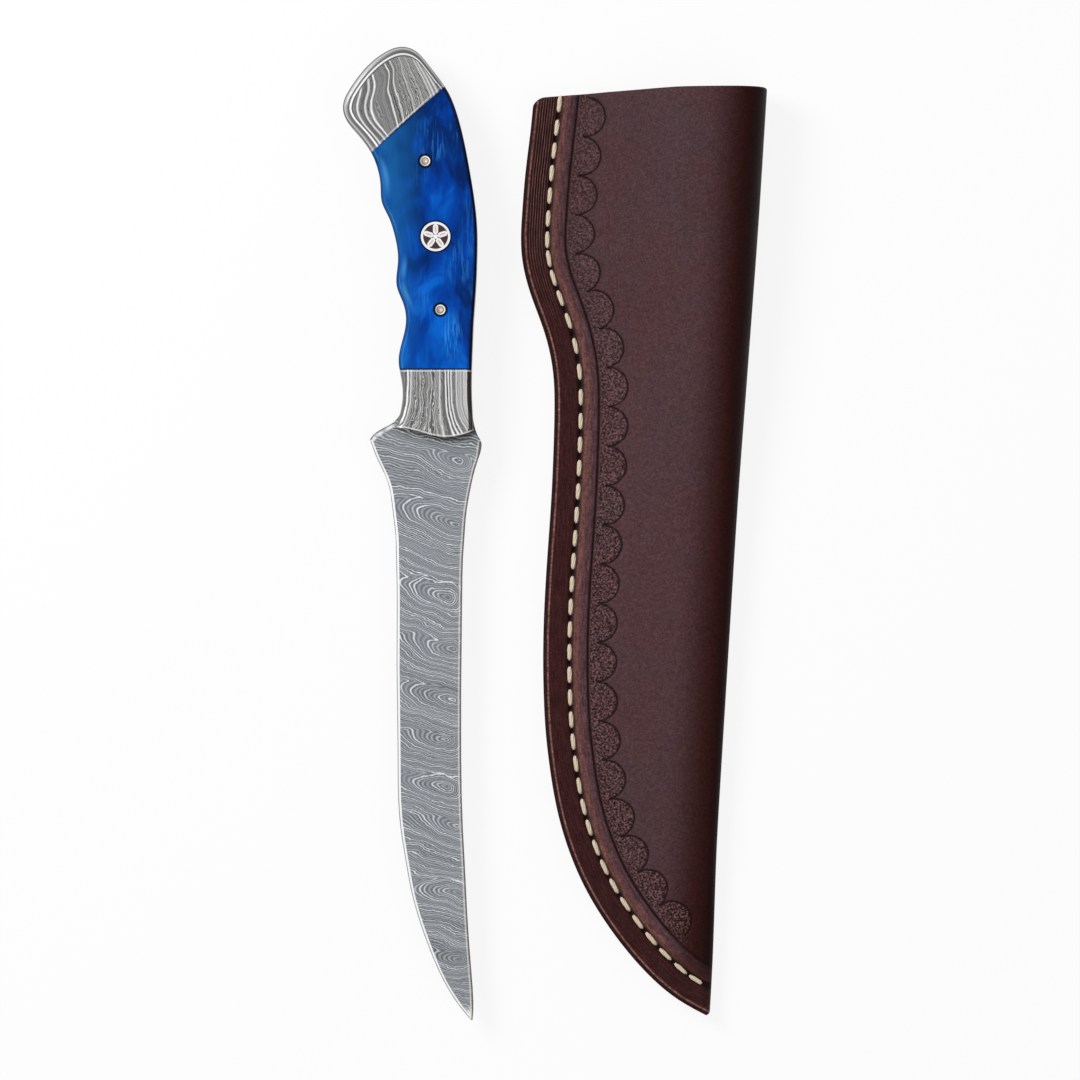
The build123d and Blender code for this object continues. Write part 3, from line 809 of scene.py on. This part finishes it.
def front_layers(steel):
    """Lengthwise layers that spread towards the blade."""
    middle_x, spread_start, spread = -41.2, 46, 0.0043
    ahead = (spread_start - steel.y).most(0.0)
    layers = (steel.x - middle_x) / (ahead * ahead * spread + 1.0)
    etch_bolster(steel, layers, (-13.5, 13.5), FRONT_LAYERS, (-2.6, 5.4), 1.6)
    side, level = steel.facing()
    # Painted shade on the rounded rims: grey along the left rim, and darker along the right rim,
    # which faces away from the light.
    left = level.span(0.90, 0.72) * side.span(0.1, -0.2)
    right = (steel.outline("bolster_right") - steel.x).span(1.65, 1.35)
    steel.paint(left * 0.85, tint(118, 116, 112))
    steel.paint(right * 0.92, tint(44, 36, 32))
    lip = steel.y - steel.outline("lip")
    # Painted highlight along the bolster's front edge, and painted shade right at that edge.
    steel.paint(lip.peak(0.45, 0.4) * 0.7, tint(222, 218, 210))
    steel.paint(lip.span(0.0, 0.2, 0.85, 0.0), tint(40, 36, 34))
    joint = GRIP_JOINT - steel.y
    steel.paint(joint.peak(0.6, 0.35) * 0.8, JOINT_LIGHT)
    steel.paint(joint.span(0.3, 0.1), JOINT_DARK)
    return layers


def pommel_layers(steel):
    """Layers that bow round the butt."""
    middle_x, middle_y, bow, slope = -54, 148, 0.00225, 0.3
    across, along = steel.x - middle_x, steel.y - middle_y
    layers = along * along * bow * across + across + along * slope
    left = steel.x - steel.outline("pommel_left")
    right = steel.outline("pommel_right") - steel.x
    top = steel.outline("pommel_top") - steel.y
    inner, upper = left.span(8.5, 14), steel.y.span(144, 162)
    inner = inner * (1.0 - upper) + upper
    low, high = -18, 18
    bowed = left + low
    layers = (layers - bowed) * inner + bowed
    etch_bolster(steel, layers, (low, high), POMMEL_LAYERS, (6.5, 8), 0.8)
    right = right + steel.y.span(153, 150.5, 0.0, 10)
    rim = (left * steel.y.span(137, 147, 0.74, 1.0)).least(slanted(left, top))
    rim = rim.least(slanted(right, top) * 1.5)
    _, level = steel.facing()
    steel.stain(1.0, (0.9, 0.9, 0.9))
    # Painted highlights and painted shade on the pommel's rounded rim, where it faces up.
    rim_highlights_and_shade = steel.greys(rim, 0.0, 4, RIM_HIGHLIGHTS_AND_SHADE)
    steel.paint(rim.span(3.3, 3.0) * level.span(0.2, 0.4), rim_highlights_and_shade)
    brown = right.span(1.0, 0.4) * steel.y.span(160, 152)
    steel.paint(brown * 0.6, tint(120, 104, 90))
    steel.paint(steel.line_beside(*POMMEL_JOINT, -0.6, 0.35) * 0.8, JOINT_LIGHT)
    steel.paint(steel.line_beside(*POMMEL_JOINT, 0.0, 0.35), JOINT_DARK)
    return layers


def slanted(first, second):
    """Distance from a slanted edge, from how far off it lies along two square axes."""
    return first * second / first.recipe.reach(first, second)


def etch_bolster(steel, layers, ends, levels, grain, wave):
    """Greys of the layers, waved this much, with streaks of grain inside a strip, which is
    given by its middle and its reach."""
    sway = steel.noise(0.12, 2.0, stretch=(1.0, 0.45, 1.0))
    ripple = steel.noise(0.52, 2.0, 0.6, stretch=(1.0, 0.4, 1.0))
    waved = (sway - 0.5) * wave + layers
    hatch = waved.noise(1.5, 1.0)
    streaks = (ripple * 2.2 + waved).noise(3.9, 1.0)
    steel.shade = steel.greys((ripple - 0.5) * 0.5 + waved, *ends, levels)
    steel.stain(hatch.span(0.52, 0.36, 0.0, 0.5), (0.5, 0.5, 0.5))
    middle, reach = grain
    flat = abs(layers - middle).span(reach * 0.6, reach, 1.0, 0.3)
    steel.stain(streaks.span(0.51, 0.41) * flat, (0.42, 0.42, 0.41))
    steel.paint(streaks.span(0.49, 0.58) * flat * 0.75, tint(206, 206, 204))


class FILLET_OT_bolsters(bpy.types.Operator):
    """Gives the bolsters and the pommel their lengthwise layers"""

    bl_idname = "fillet.bolsters"
    bl_label = "Bolsters"

    def execute(self, context):
        for place, layered in (("front", front_layers), ("pommel", pommel_layers)):
            steel = Finish(f"layered_{place}_bolster_steel")
            finish = steel_surface(steel, layered(steel), 0.36)
            dress([f"{place}_bolster_{end}" for end in ("right", "left", "pins")], finish)
        return {"FINISHED"}


def resin_clouds(resin, colours):
    """Clouds, wisps and fibres inside the resin."""
    clouds = resin.noise(0.075, 3.0, 0.55, 0.8, stretch=(1.0, 0.7, 1.0))
    wisps = resin.noise(0.42, 3.0, 0.6, 0.4, stretch=(1.0, 0.16, 1.0))
    fibres = resin.noise(1.7, 2.0, 0.6, stretch=(1.0, 0.07, 1.0))
    veil = resin.noise(0.06, 2.0)
    lit = resin.y * -0.0026 + (clouds + 0.27)
    for *cloud, lighter in CLOUDS:
        lit = resin.spot(*cloud) * lighter + lit
    resin.paint(lit.span(0.34, 0.56), colours.resin)
    resin.paint(lit.span(0.54, 0.74, 0.0, 0.75), colours.resin_pearl)
    teal = resin.x.span(-58, -42, 0.95, 0.0) * veil.span(0.3, 0.55, 0.4, 1.0)
    resin.paint(teal, colours.resin_teal)
    light = wisps.span(0.5, 0.72, 0.0, 0.34) * lit.span(0.34, 0.6, 0.2, 1.0)
    resin.paint(light, colours.resin_pearl)
    resin.stain(wisps.span(0.5, 0.34, 0.0, 0.22), (0.35, 0.5, 0.62))
    where = veil.span(0.48, 0.62, 0.0, 0.3) * resin.x.span(-50, -42)
    for *bundle, strength in BUNDLES:
        where = where.most(resin.spot(*bundle) * strength)
    resin.paint(fibres.span(0.5, 0.6, 0.0, 0.8) * where, tint(56, 148, 236))


def resin_light(resin, colours):
    """Painted shade on the rounded edges, and painted highlights: the gleam of the finger swells and
    a light line along the left rim.
    """
    side, level = resin.facing()
    right = level.span(0.97, 0.80) * side.span(0.0, 0.2)
    left = side.span(0.0, -0.2)
    # Painted shade on the edges that turn right, and on the steep left side.
    resin.paint(right * 0.92, colours.resin_edge_shade)
    resin.paint(level.span(0.75, 0.45, 0.0, 0.85) * left, colours.resin_edge_shade)
    upper, middle, lower = (resin.y.peak(*swell) for swell in SWELLS)
    edge = resin.x - resin.outline("grip_left")
    # Painted highlights on the swells of the grip's left edge.
    swells = edge.peak(2.3, 1.5) * upper.most(middle).most(lower)
    resin.paint(swells * 0.55, tint(76, 158, 222))
    # Painted highlight: a broken light line along the left rim.
    uneven = resin.noise(0.09, 1.0).span(0.35, 0.6, 0.05, 0.5)
    resin.paint(level.peak(0.90, 0.06) * left * uneven, tint(84, 164, 222))


class FILLET_OT_scales(bpy.types.Operator):
    """Gives the grip scales their pearl resin"""

    bl_idname = "fillet.scales"
    bl_label = "Scales"

    def execute(self, context):
        colours = context.scene.fillet_knife
        resin = Finish("blue_pearl_resin", colours.resin_deep)
        resin_clouds(resin, colours)
        resin_light(resin, colours)
        joint = resin.y.peak(GRIP_JOINT, 0.55)
        joint = joint.most(resin.line_beside(*POMMEL_JOINT, 0.1, 0.5))
        resin.paint(joint, tint(4, 8, 20))
        for pin in ("front_pin_tube", "rear_pin_tube", "mosaic_pin_tube"):
            x, y, radius = round_place(pin)
            away = resin.reach(resin.x - x, resin.y - y)
            resin.paint(away.span(radius + 0.75, radius + 0.25), tint(2, 8, 30))
        finish = resin.finish(Roughness=0.16, Specular_IOR_Level=0.05)
        dress(["scale_right", "scale_left"], finish)
        return {"FINISHED"}


def pin_metal(colours):
    """Polished steel with fine marks."""
    steel = Finish("polished_pin_steel", colours.polished)
    marks = steel.noise(2.6, 2.0)
    steel.stain(marks.span(0.3, 0.7, 0.25, 0.0), (0.7, 0.7, 0.7))
    return steel.finish(Metallic=0.8, Roughness=0.22, Normal=steel.bump(marks, 0.01, 0.3))


def pin_filler(colours):
    """Dark resin, with a pale line along the middle of each petal."""
    resin = Finish("dark_mosaic_resin", colours.filler)
    x, y, _ = round_place("mosaic_pin_tube")
    across, up = resin.x - x, resin.y - y
    angle = resin.math("ARCTAN2", across, up)
    turn = resin.math("WRAP", angle, math.pi / 5, -math.pi / 5)
    aside = abs(turn.sine() * resin.reach(across, up))
    resin.paint(resin.noise(1.5), tint(34, 18, 16))
    resin.paint(aside.span(0.30, 0.34, 0.85, 0.0), tint(226, 206, 200))
    return resin.finish(Roughness=0.35, Specular_IOR_Level=0.3)


def small_pin(name, x, y, shade, colours):
    """A domed pin with painted shade over one side, so that its upper side shows pale, a painted
    highlight, and dark round its rim and its core.
    """
    pin = Finish(name, shade)
    across, up = pin.x - x, pin.y - y
    away = pin.reach(across, up)
    slope = across * 0.7 + up * 0.3
    # Painted shade over one side of the dome.
    pin.paint(slope.span(-1.2, 0.6, 0.55, 0.0), tint(96, 90, 88))
    pin.paint(away.peak(1.15, 0.25), tint(88, 70, 62))
    pin.paint(away.span(1.55, 1.8), tint(20, 22, 40))
    # Painted highlight on the polished dome.
    gleam = pin.reach(across - 0.25, up + 0.15)
    pin.paint(gleam.span(0.45, 0.1), colours.polished)
    return pin.finish(Metallic=0.7, Roughness=0.3)


class FILLET_OT_pins(bpy.types.Operator):
    """Gives the small pins and the mosaic pin their metals and their resin"""

    bl_idname = "fillet.pins"
    bl_label = "Pins"

    def execute(self, context):
        colours = context.scene.fillet_knife
        dress(["mosaic_pin_tube", "mosaic_pin_rods"], pin_metal(colours))
        dress(["mosaic_pin_filler"], pin_filler(colours))
        for pin in ("front_pin", "rear_pin"):
            middle = round_place(f"{pin}_tube")[:2]
            for part, kind, shade in (
                ("tube", "steel", colours.polished), ("core", "brass", colours.brass),
            ):
                finish = small_pin(f"{pin}_{kind}", *middle, shade, colours)
                dress([f"{pin}_{part}"], finish)
        return {"FINISHED"}


# Rows and columns of the leather's wall, and how far its inner corners are cut off.
ROW_PITCH = 0.56 * MM
PANEL_COLUMNS, FOLD_COLUMNS, BACK_COLUMNS = 13, 18, 12
LINING_FOLD_COLUMNS, LINING_FLOOR_COLUMNS = 8, 7
LIP = 0.12 * MM
WELT_ROWS = 420


def front_insets(sizes):
    """Insets of the columns on the front, closer together where there is relief."""
    groove, crease = sizes.stitch_inset, sizes.border
    return np.concatenate([
        sizes.edge_round * (1 - np.cos(np.linspace(0, math.pi / 2, 6))),
        np.array([1.25, 1.5, 1.8, 2.1, 2.5, 2.9, 3.4, 3.9, 4.6, 5.6, 6.6, 7.4]) * MM,
        groove + np.linspace(-1.35, 1.35, 9) * MM,
        groove + np.linspace(1.8, 5.2, 8) * MM,
        crease + np.linspace(-0.6, 0.6, 5) * MM,
        np.linspace(16.2, 25.6, 22) * MM,
    ])


def leather_shape(form):
    """Place of every point of the wall, and where it lies on the leather: distance from
    the sewn edge, from the mouth along the stamps, and from the fold, in mm."""
    sizes = form.sizes
    rim, end = sizes.edge_round, form.mouth_y[0]
    front_at = front_insets(sizes)
    back_at = np.concatenate([
        np.array([11.0, 10.2, 9.6, 9.0, 8.4, 7.8, 7.0, 5.0, 3.0]) * MM,
        rim * (1 - np.cos(np.linspace(math.pi / 2, 0, 5))),
    ])
    heights = np.concatenate([
        np.array([0, 0.1, 0.25, 0.5, 0.85]) * MM,
        np.linspace(1.25 * MM, end - rim, math.ceil(end / ROW_PITCH))[:-1],
        end - rim * (1 - np.sin(np.linspace(0, math.pi / 2, 6))),
    ])
    rows = [leather_row(form, y, front_at, back_at) for y in heights]
    x, y, z = (np.array(part) for part in zip(*rows))
    front = slice(2, 2 + len(front_at) + PANEL_COLUMNS)
    back = front.stop + FOLD_COLUMNS
    back = slice(back, back + BACK_COLUMNS + len(back_at))
    inset, along = form.seam_place(x, y)
    z[:, front] += front_relief(sizes, inset[:, front], along[:, front])
    depth, groove_reach, hole_reach = 0.9 * MM, 1.3 * MM, 1.1 * MM
    z[:, back] += depth * dip(inset[:, back] - sizes.stitch_inset, groove_reach)
    for hole_x, hole_y in form.holes():
        away = np.hypot(x[:, front] - hole_x, y[:, front] - hole_y)
        z[:, front] -= depth * dip(away, hole_reach)
    inset[:, back.start:] += BACK_MARK * MM
    seam_places = np.stack([inset, along, -x], axis=-1) / MM
    return np.stack(form.place(x, y, z), axis=-1), seam_places


def leather_row(form, y, front_at, back_at):
    """One closed row of points: front, fold, back, and the lining inside the pocket."""
    sizes, rim = form.sizes, form.sizes.edge_round
    top, right, crown = form.row_shape(y)

    def at(insets):
        return np.minimum([form.across(inset, y) for inset in insets], crown)

    def worn(insets):
        return rim - np.sqrt(rim**2 - (rim - np.minimum(insets, rim)) ** 2)

    border = at([sizes.border])[0]
    near = max(rim - (form.mouth_y[0] - y), 0)
    drop = 0.9 * (rim - math.sqrt(rim**2 - near**2))
    wall = sizes.leather - drop
    front_x = at(front_at)
    panel_x = np.linspace(front_x[-1], crown, PANEL_COLUMNS + 1)[1:]
    front_x = np.concatenate([front_x, panel_x])
    front_z = form.front_height(front_x, border, crown, top)
    front_z[: len(front_at)] -= worn(front_at)
    front_z -= drop
    fold_x, fold_z = form.fold_round(crown, right, top, drop, FOLD_COLUMNS)
    back_x = at(back_at)
    back_x = np.concatenate([np.linspace(crown, back_x[0], BACK_COLUMNS + 1)[:-1], back_x])
    back_z = np.zeros(len(back_x))
    back_z[-len(back_at):] = worn(back_at)
    back_z += drop
    seam_x, lip_x = at([0, LIP])
    slot = at([5 * MM, 10 * MM, sizes.border])
    floor_x = np.linspace(slot[-1], crown, LINING_FLOOR_COLUMNS + 1)[1:]
    lining_x, lining_z = form.fold_round(crown, right, top, wall, LINING_FOLD_COLUMNS)
    roof_x = floor_x[::-1]
    roof_z = form.front_height(roof_x, border, crown, top, wall)
    under = form.stack - wall
    x = np.concatenate([
        [lip_x, seam_x], front_x, fold_x, back_x, [seam_x, lip_x],
        slot, floor_x, lining_x[::-1], roof_x, slot[::-1],
    ])
    z = np.concatenate([
        [under, under + LIP], front_z, fold_z, back_z, [wall - LIP, wall],
        np.full(len(slot) + len(floor_x), wall), lining_z[::-1], roof_z,
        np.full(len(slot), under),
    ])
    return x, form.lifted(x, y), z


def front_relief(sizes, inset, along):
    """Height of the groove, the rubbed band, the crease and the stamps."""
    relief = -0.5 * MM * dip(inset - sizes.stitch_inset, 1.5 * MM)
    relief += 0.4 * MM * dip(inset - 12.4 * MM, 2.9 * MM)
    relief -= 0.5 * MM * dip(inset - sizes.border, 0.7 * MM)
    number = np.clip(np.round((along - sizes.stamp_start) / sizes.stamp_pitch), 0, STAMPS - 1)
    step = along - sizes.stamp_start - number * sizes.stamp_pitch
    reach = np.hypot(step, inset - sizes.stamp_inset)
    beyond = inset > sizes.stamp_inset
    relief -= sizes.stamp_depth * dip(reach - sizes.stamp_radius, 0.75 * MM) * beyond
    inside = np.clip((sizes.stamp_radius - reach) / (0.8 * MM), 0, 1) * beyond
    strip = np.clip((inset - sizes.border - 0.6 * MM) / (1.0 * MM), 0, 1) * (1 - beyond)
    relief -= 0.22 * MM * np.maximum(inside, strip)
    return relief


class FILLET_OT_leather(bpy.types.Operator):
    """Folds the leather of the sheath, with its groove, crease, stamps and rounded edges"""

    bl_idname = "fillet.leather"
    bl_label = "Sheath leather"

    def execute(self, context):
        sizes = context.scene.fillet_sheath
        places, seam_places = leather_shape(SheathForm(sizes))
        leather = closed_wall("leather", places, seam_places)
        leather.data.materials.append(leather_finish(sizes, context.scene.fillet_leather))
        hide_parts("sheath_leather")
        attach(leather, "sheath")
        return {"FINISHED"}


def leather_finish(sizes, colours):
    """Dyed, rubbed and waxed leather, with the matting inside the stamps."""
    leather = Finish("oiled_leather", colours.panel)
    border, groove, middle, start, pitch, radius = (size / MM for size in (
        sizes.border, sizes.stitch_inset, sizes.stamp_inset, sizes.stamp_start,
        sizes.stamp_pitch, sizes.stamp_radius,
    ))
    inset, along, width = leather.attribute("sheath_place")
    front = leather.math("LESS_THAN", inset, BACK_MARK / 2)
    lit_run = along.span((STAMPS + 0.6) * pitch, (STAMPS - 0.4) * pitch)
    mottle = leather.noise(0.042, 4.0, 0.6)
    weave = leather.noise(1.5, 2.0, 0.6)
    fleck = leather.noise(0.52, 3.0, 0.65)
    leather.paint(mottle.span(0.38, 0.62), colours.warm)
    # Darker towards the fold: partly dye, partly painted shade of the rounded fold.
    leather.paint(width.span(21, 5.5), colours.fold)
    leather.paint(width.span(8, 1, 0.0, 0.85), colours.dark)

    # The rubbed band, partly painted highlight and painted shade of its raised bead, the dyed flange
    # and its fine lines, the groove and the crease.
    band = inset.span(10, 10.6) * inset.span(15.2, 14.8) * (lit_run * 0.75 + 0.25) * front
    # Lighter near the stitches and cooler towards the crease: partly painted highlight and shade of
    # the bead.
    cool = leather.blend(inset.span(10.8, 13.6), colours.band, colours.band_cool)
    leather.paint(band, cool)
    leather.paint(inset.span(9.2, 8.2) * front, colours.flange)
    lines = (inset * (2 * math.pi / 0.85) + mottle * 5.0).sine()
    where = inset.span(2.0, 2.7) * inset.span(8.6, 7.6) * along.span(85, 30, 0.05, 1.0)
    leather.paint(lines.span(-0.2, 0.7) * where * 0.85, colours.dark)
    leather.paint(lines.span(-0.3, -0.95) * where * 0.4, colours.rim)
    leather.paint(inset.peak(groove, 1.9) * 0.92, colours.dark)
    leather.paint(inset.peak(border, 0.75) * (lit_run * 0.6 + 0.38), colours.dark)
    leather.paint(inset.span(0.3, 1.5, 0.6, 0.0), colours.dark)
    dots = along.noise(0.9, 1.0).span(0.35, 0.6, 0.5, 0.95)
    leather.paint(inset.peak(1.6, 0.5) * dots, colours.rim)
    height = (weave + fleck) * 0.5 + lines * where * -0.5

    # The stamps with their dark outlines, and the matting inside and beside them.
    number = leather.math("ROUND", (along - start) / pitch).most(0.0).least(STAMPS - 1.0)
    away = leather.reach(along - start - number * pitch, inset - middle)
    beyond = inset.span(middle - 0.4, middle) * front
    strip = inset.span(15.7, 16.1) * inset.span(middle + 0.5, middle - 0.3) * front
    matted = (away.span(radius, radius - 0.6) * beyond).most(strip * lit_run)
    pebbles = leather.noise(1.5, 1.0, 0.5)
    where = matted * along.span(30, 170, 0.55, 1.0)
    leather.paint(where * pebbles.span(0.5, 0.66, 0.0, 0.62), colours.matting)
    leather.paint(where * pebbles.span(0.52, 0.36, 0.0, 0.72), colours.dark)
    leather.paint(away.peak(radius, 0.6) * beyond * 0.97, colours.dark)

    leather.stain(weave.span(0.35, 0.55, 0.45, 0.0), (0.45, 0.4, 0.4))
    leather.stain(weave.span(0.52, 0.7, 0.0, 0.5), (1.7, 1.6, 1.6))
    leather.stain(fleck.span(0.35, 0.55, 0.35, 0.0), (0.6, 0.5, 0.5))
    streaks = leather.noise(1.5, 2.0, 0.6, place=leather.join(inset, along * 0.12))
    sewn = inset.span(15.2, 14.4) * front
    leather.stain(streaks.span(0.5, 0.36, 0.0, 0.6) * sewn, (0.5, 0.42, 0.42))
    leather.stain(streaks.span(0.52, 0.66, 0.0, 0.6) * sewn, (1.6, 1.5, 1.5))
    leather.stain(along.span(100, 15, 0.0, 0.6), (0.8, 0.78, 0.8))
    return leather.finish(
        Roughness=mottle.span(0.3, 0.7, 0.48, 0.58), Specular_IOR_Level=0.045,
        Normal=leather.bump(height + matted * pebbles * 1.5, 0.12, 0.55),
    )


def welt_finish(colours):
    """Burnished edge of leather, with its fibres."""
    edge = Finish("burnished_welt", colours.dark)
    fibres = edge.noise(0.9, 4.0, 0.7, stretch=(1, 1, 4))
    edge.paint(fibres.span(0.3, 0.7), colours.flange)
    normal = edge.bump(fibres, 0.1, 0.5)
    return edge.finish(Roughness=0.5, Normal=normal, Specular_IOR_Level=0.15)


class FILLET_OT_welt(bpy.types.Operator):
    """Lays the leather strip between the two sewn layers"""

    bl_idname = "fillet.welt"
    bl_label = "Welt"

    def execute(self, context):
        sizes = context.scene.fillet_sheath
        form = SheathForm(sizes)
        low, high = sizes.leather, sizes.leather + sizes.welt
        middle, inner = (low + high) / 2, sizes.border - 0.4 * MM
        insets, heights = np.transpose([
            (0.25 * MM, low), (0.1 * MM, low + 0.4 * MM), (0.05 * MM, middle),
            (0.1 * MM, high - 0.4 * MM), (0.25 * MM, high), (7 * MM, high), (inner, high),
            (inner + 0.2 * MM, middle), (inner, low), (7 * MM, low),
        ])
        places = []
        for y in np.linspace(0.6 * MM, form.mouth_y[0], WELT_ROWS):
            _, right, crown = form.row_shape(y)
            limit = max(crown, right - sizes.leather)
            x = np.minimum([form.across(inset, y) for inset in insets], limit)
            tall = form.lifted(x, y, setback=0.3 * MM)
            places.append(np.stack(form.place(x, tall, heights), axis=-1))
        welt = closed_wall("welt", np.array(places))
        welt.data.materials.append(welt_finish(context.scene.fillet_leather))
        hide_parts("sheath_welt")
        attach(welt, "sheath")
        return {"FINISHED"}


# Rings of points along one stitch, its two tips included, and points round each ring.
STITCH_RINGS, STITCH_SIDES = 17, 14


def add_stitch(bm, layer, sizes, middle, lean, up, index):
    """One stitch, a flattened run of thread whose ends dive into their holes."""
    turn = Matrix.Rotation(lean, 4, "Z")
    swell = 1 + 0.06 * noise.noise((0, index * 2.3, 0))

    def point(share, side):
        angle = math.pi / 2 + up * 2 * math.pi * side / STITCH_SIDES
        full = (1 - abs(share) ** 3.2) ** 0.5
        across, height = full * math.cos(angle), full * math.sin(angle)
        vert = bm.verts.new(Vector(middle) + turn @ Vector((
            share * sizes.stitch_long / 2,
            across * sizes.thread / 2 * swell,
            up * (height * 0.42 * sizes.thread - 0.65 * MM * share**4),
        )))
        vert[layer] = (share * sizes.stitch_long / MM, across, 0)
        return vert

    front, *shares, back = np.linspace(1, -1, STITCH_RINGS)
    rings = [[point(share, side) for side in range(STITCH_SIDES)] for share in shares]
    front, back = point(front, 0), point(back, 0)
    for side in range(STITCH_SIDES):
        bm.faces.new((front, rings[0][side - 1], rings[0][side]))
        bm.faces.new((back, rings[-1][side], rings[-1][side - 1]))
        for ring, after in zip(rings, rings[1:]):
            bm.faces.new((ring[side], ring[side - 1], after[side - 1], after[side]))


def thread_finish(colours):
    """Twisted strands under wax, with painted shade between them and at their sides."""
    thread = Finish("waxed_thread", colours.thread)
    ahead, across, _ = thread.attribute("thread_place")
    strands = (ahead * (2 * math.pi / 7.0) + across * 7.0).sine()
    # Painted shade in the grooves between the strands and on the thread's rounded sides.
    thread.stain(strands.span(-1.0, -0.3, 0.5, 0.0), tint(150, 118, 80))
    thread.stain(abs(across).span(0.75, 1.0, 0.0, 0.7), tint(120, 84, 50))
    height = thread.noise(2.5, 2.0) * 0.3 + strands
    normal = thread.bump(height, 0.12, 0.6)
    return thread.finish(Roughness=0.55, Normal=normal, Specular_IOR_Level=0.2)


class FILLET_OT_thread(bpy.types.Operator):
    """Sews the stitches on both faces of the border"""

    bl_idname = "fillet.thread"
    bl_label = "Thread"

    def execute(self, context):
        sizes = context.scene.fillet_sheath
        form = SheathForm(sizes)
        bm = bmesh.new()
        layer = bm.verts.layers.float_vector.new("thread_place")
        line = form.beside(sizes.stitch_inset)
        for index, here in enumerate(form.stitches()):
            x, y = (np.interp(here, form.share, line[:, i]) for i in (0, 1))
            run_x, run_y = (np.interp(here, form.share, form.run[:, i]) for i in (0, 1))
            lean = math.atan2(run_y, run_x) - form.tilt
            lean += math.radians(2.5) * noise.noise((index * 1.7, 0, 0))
            for height, up in ((form.stack - 0.35 * MM, 1), (0.75 * MM, -1)):
                add_stitch(bm, layer, sizes, form.place(x, y, height), lean, up, index)
        thread = add_mesh("thread", bm, True)
        thread.data.materials.append(thread_finish(context.scene.fillet_leather))
        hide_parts("sheath_thread")
        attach(thread, "sheath")
        return {"FINISHED"}


class FILLET_PT_panel(bpy.types.Panel):
    """Lists what the fillet knife is made of"""

    bl_idname = "FILLET_PT_panel"
    bl_label = "Fillet Knife"
    bl_space_type = "VIEW_3D"
    bl_region_type = "UI"
    bl_category = "Fillet Knife"

    def draw(self, context):
        for operator in OPERATORS:
            self.layout.operator(operator.bl_idname)
        for group in GROUPS:
            settings = getattr(context.scene, group)
            box = self.layout.box()
            for name in settings.bl_rna.properties.keys():
                if name not in ("rna_type", "name"):
                    box.prop(settings, name)


GROUPS = {
    "fillet_sheath": SheathSizes,
    "fillet_leather": SheathColours,
    "fillet_knife": KnifeColours,
    "fillet_stage": StageSizes,
}
OPERATORS = (
    FILLET_OT_stage, FILLET_OT_blade, FILLET_OT_bolsters, FILLET_OT_scales, FILLET_OT_pins,
    FILLET_OT_leather, FILLET_OT_welt, FILLET_OT_thread,
)


def register():
    for cls in (*GROUPS.values(), *OPERATORS, FILLET_PT_panel):
        bpy.utils.register_class(cls)
    for name, group in GROUPS.items():
        setattr(bpy.types.Scene, name, PointerProperty(type=group))


def unregister():
    for name in GROUPS:
        delattr(bpy.types.Scene, name)
    for cls in (FILLET_PT_panel, *reversed(OPERATORS), *reversed(GROUPS.values())):
        bpy.utils.unregister_class(cls)


def main():
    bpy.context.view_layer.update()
    register()
    for operator in OPERATORS:
        group, name = operator.bl_idname.split(".")
        getattr(getattr(bpy.ops, group), name)()


if __name__ == "__main__":
    main()
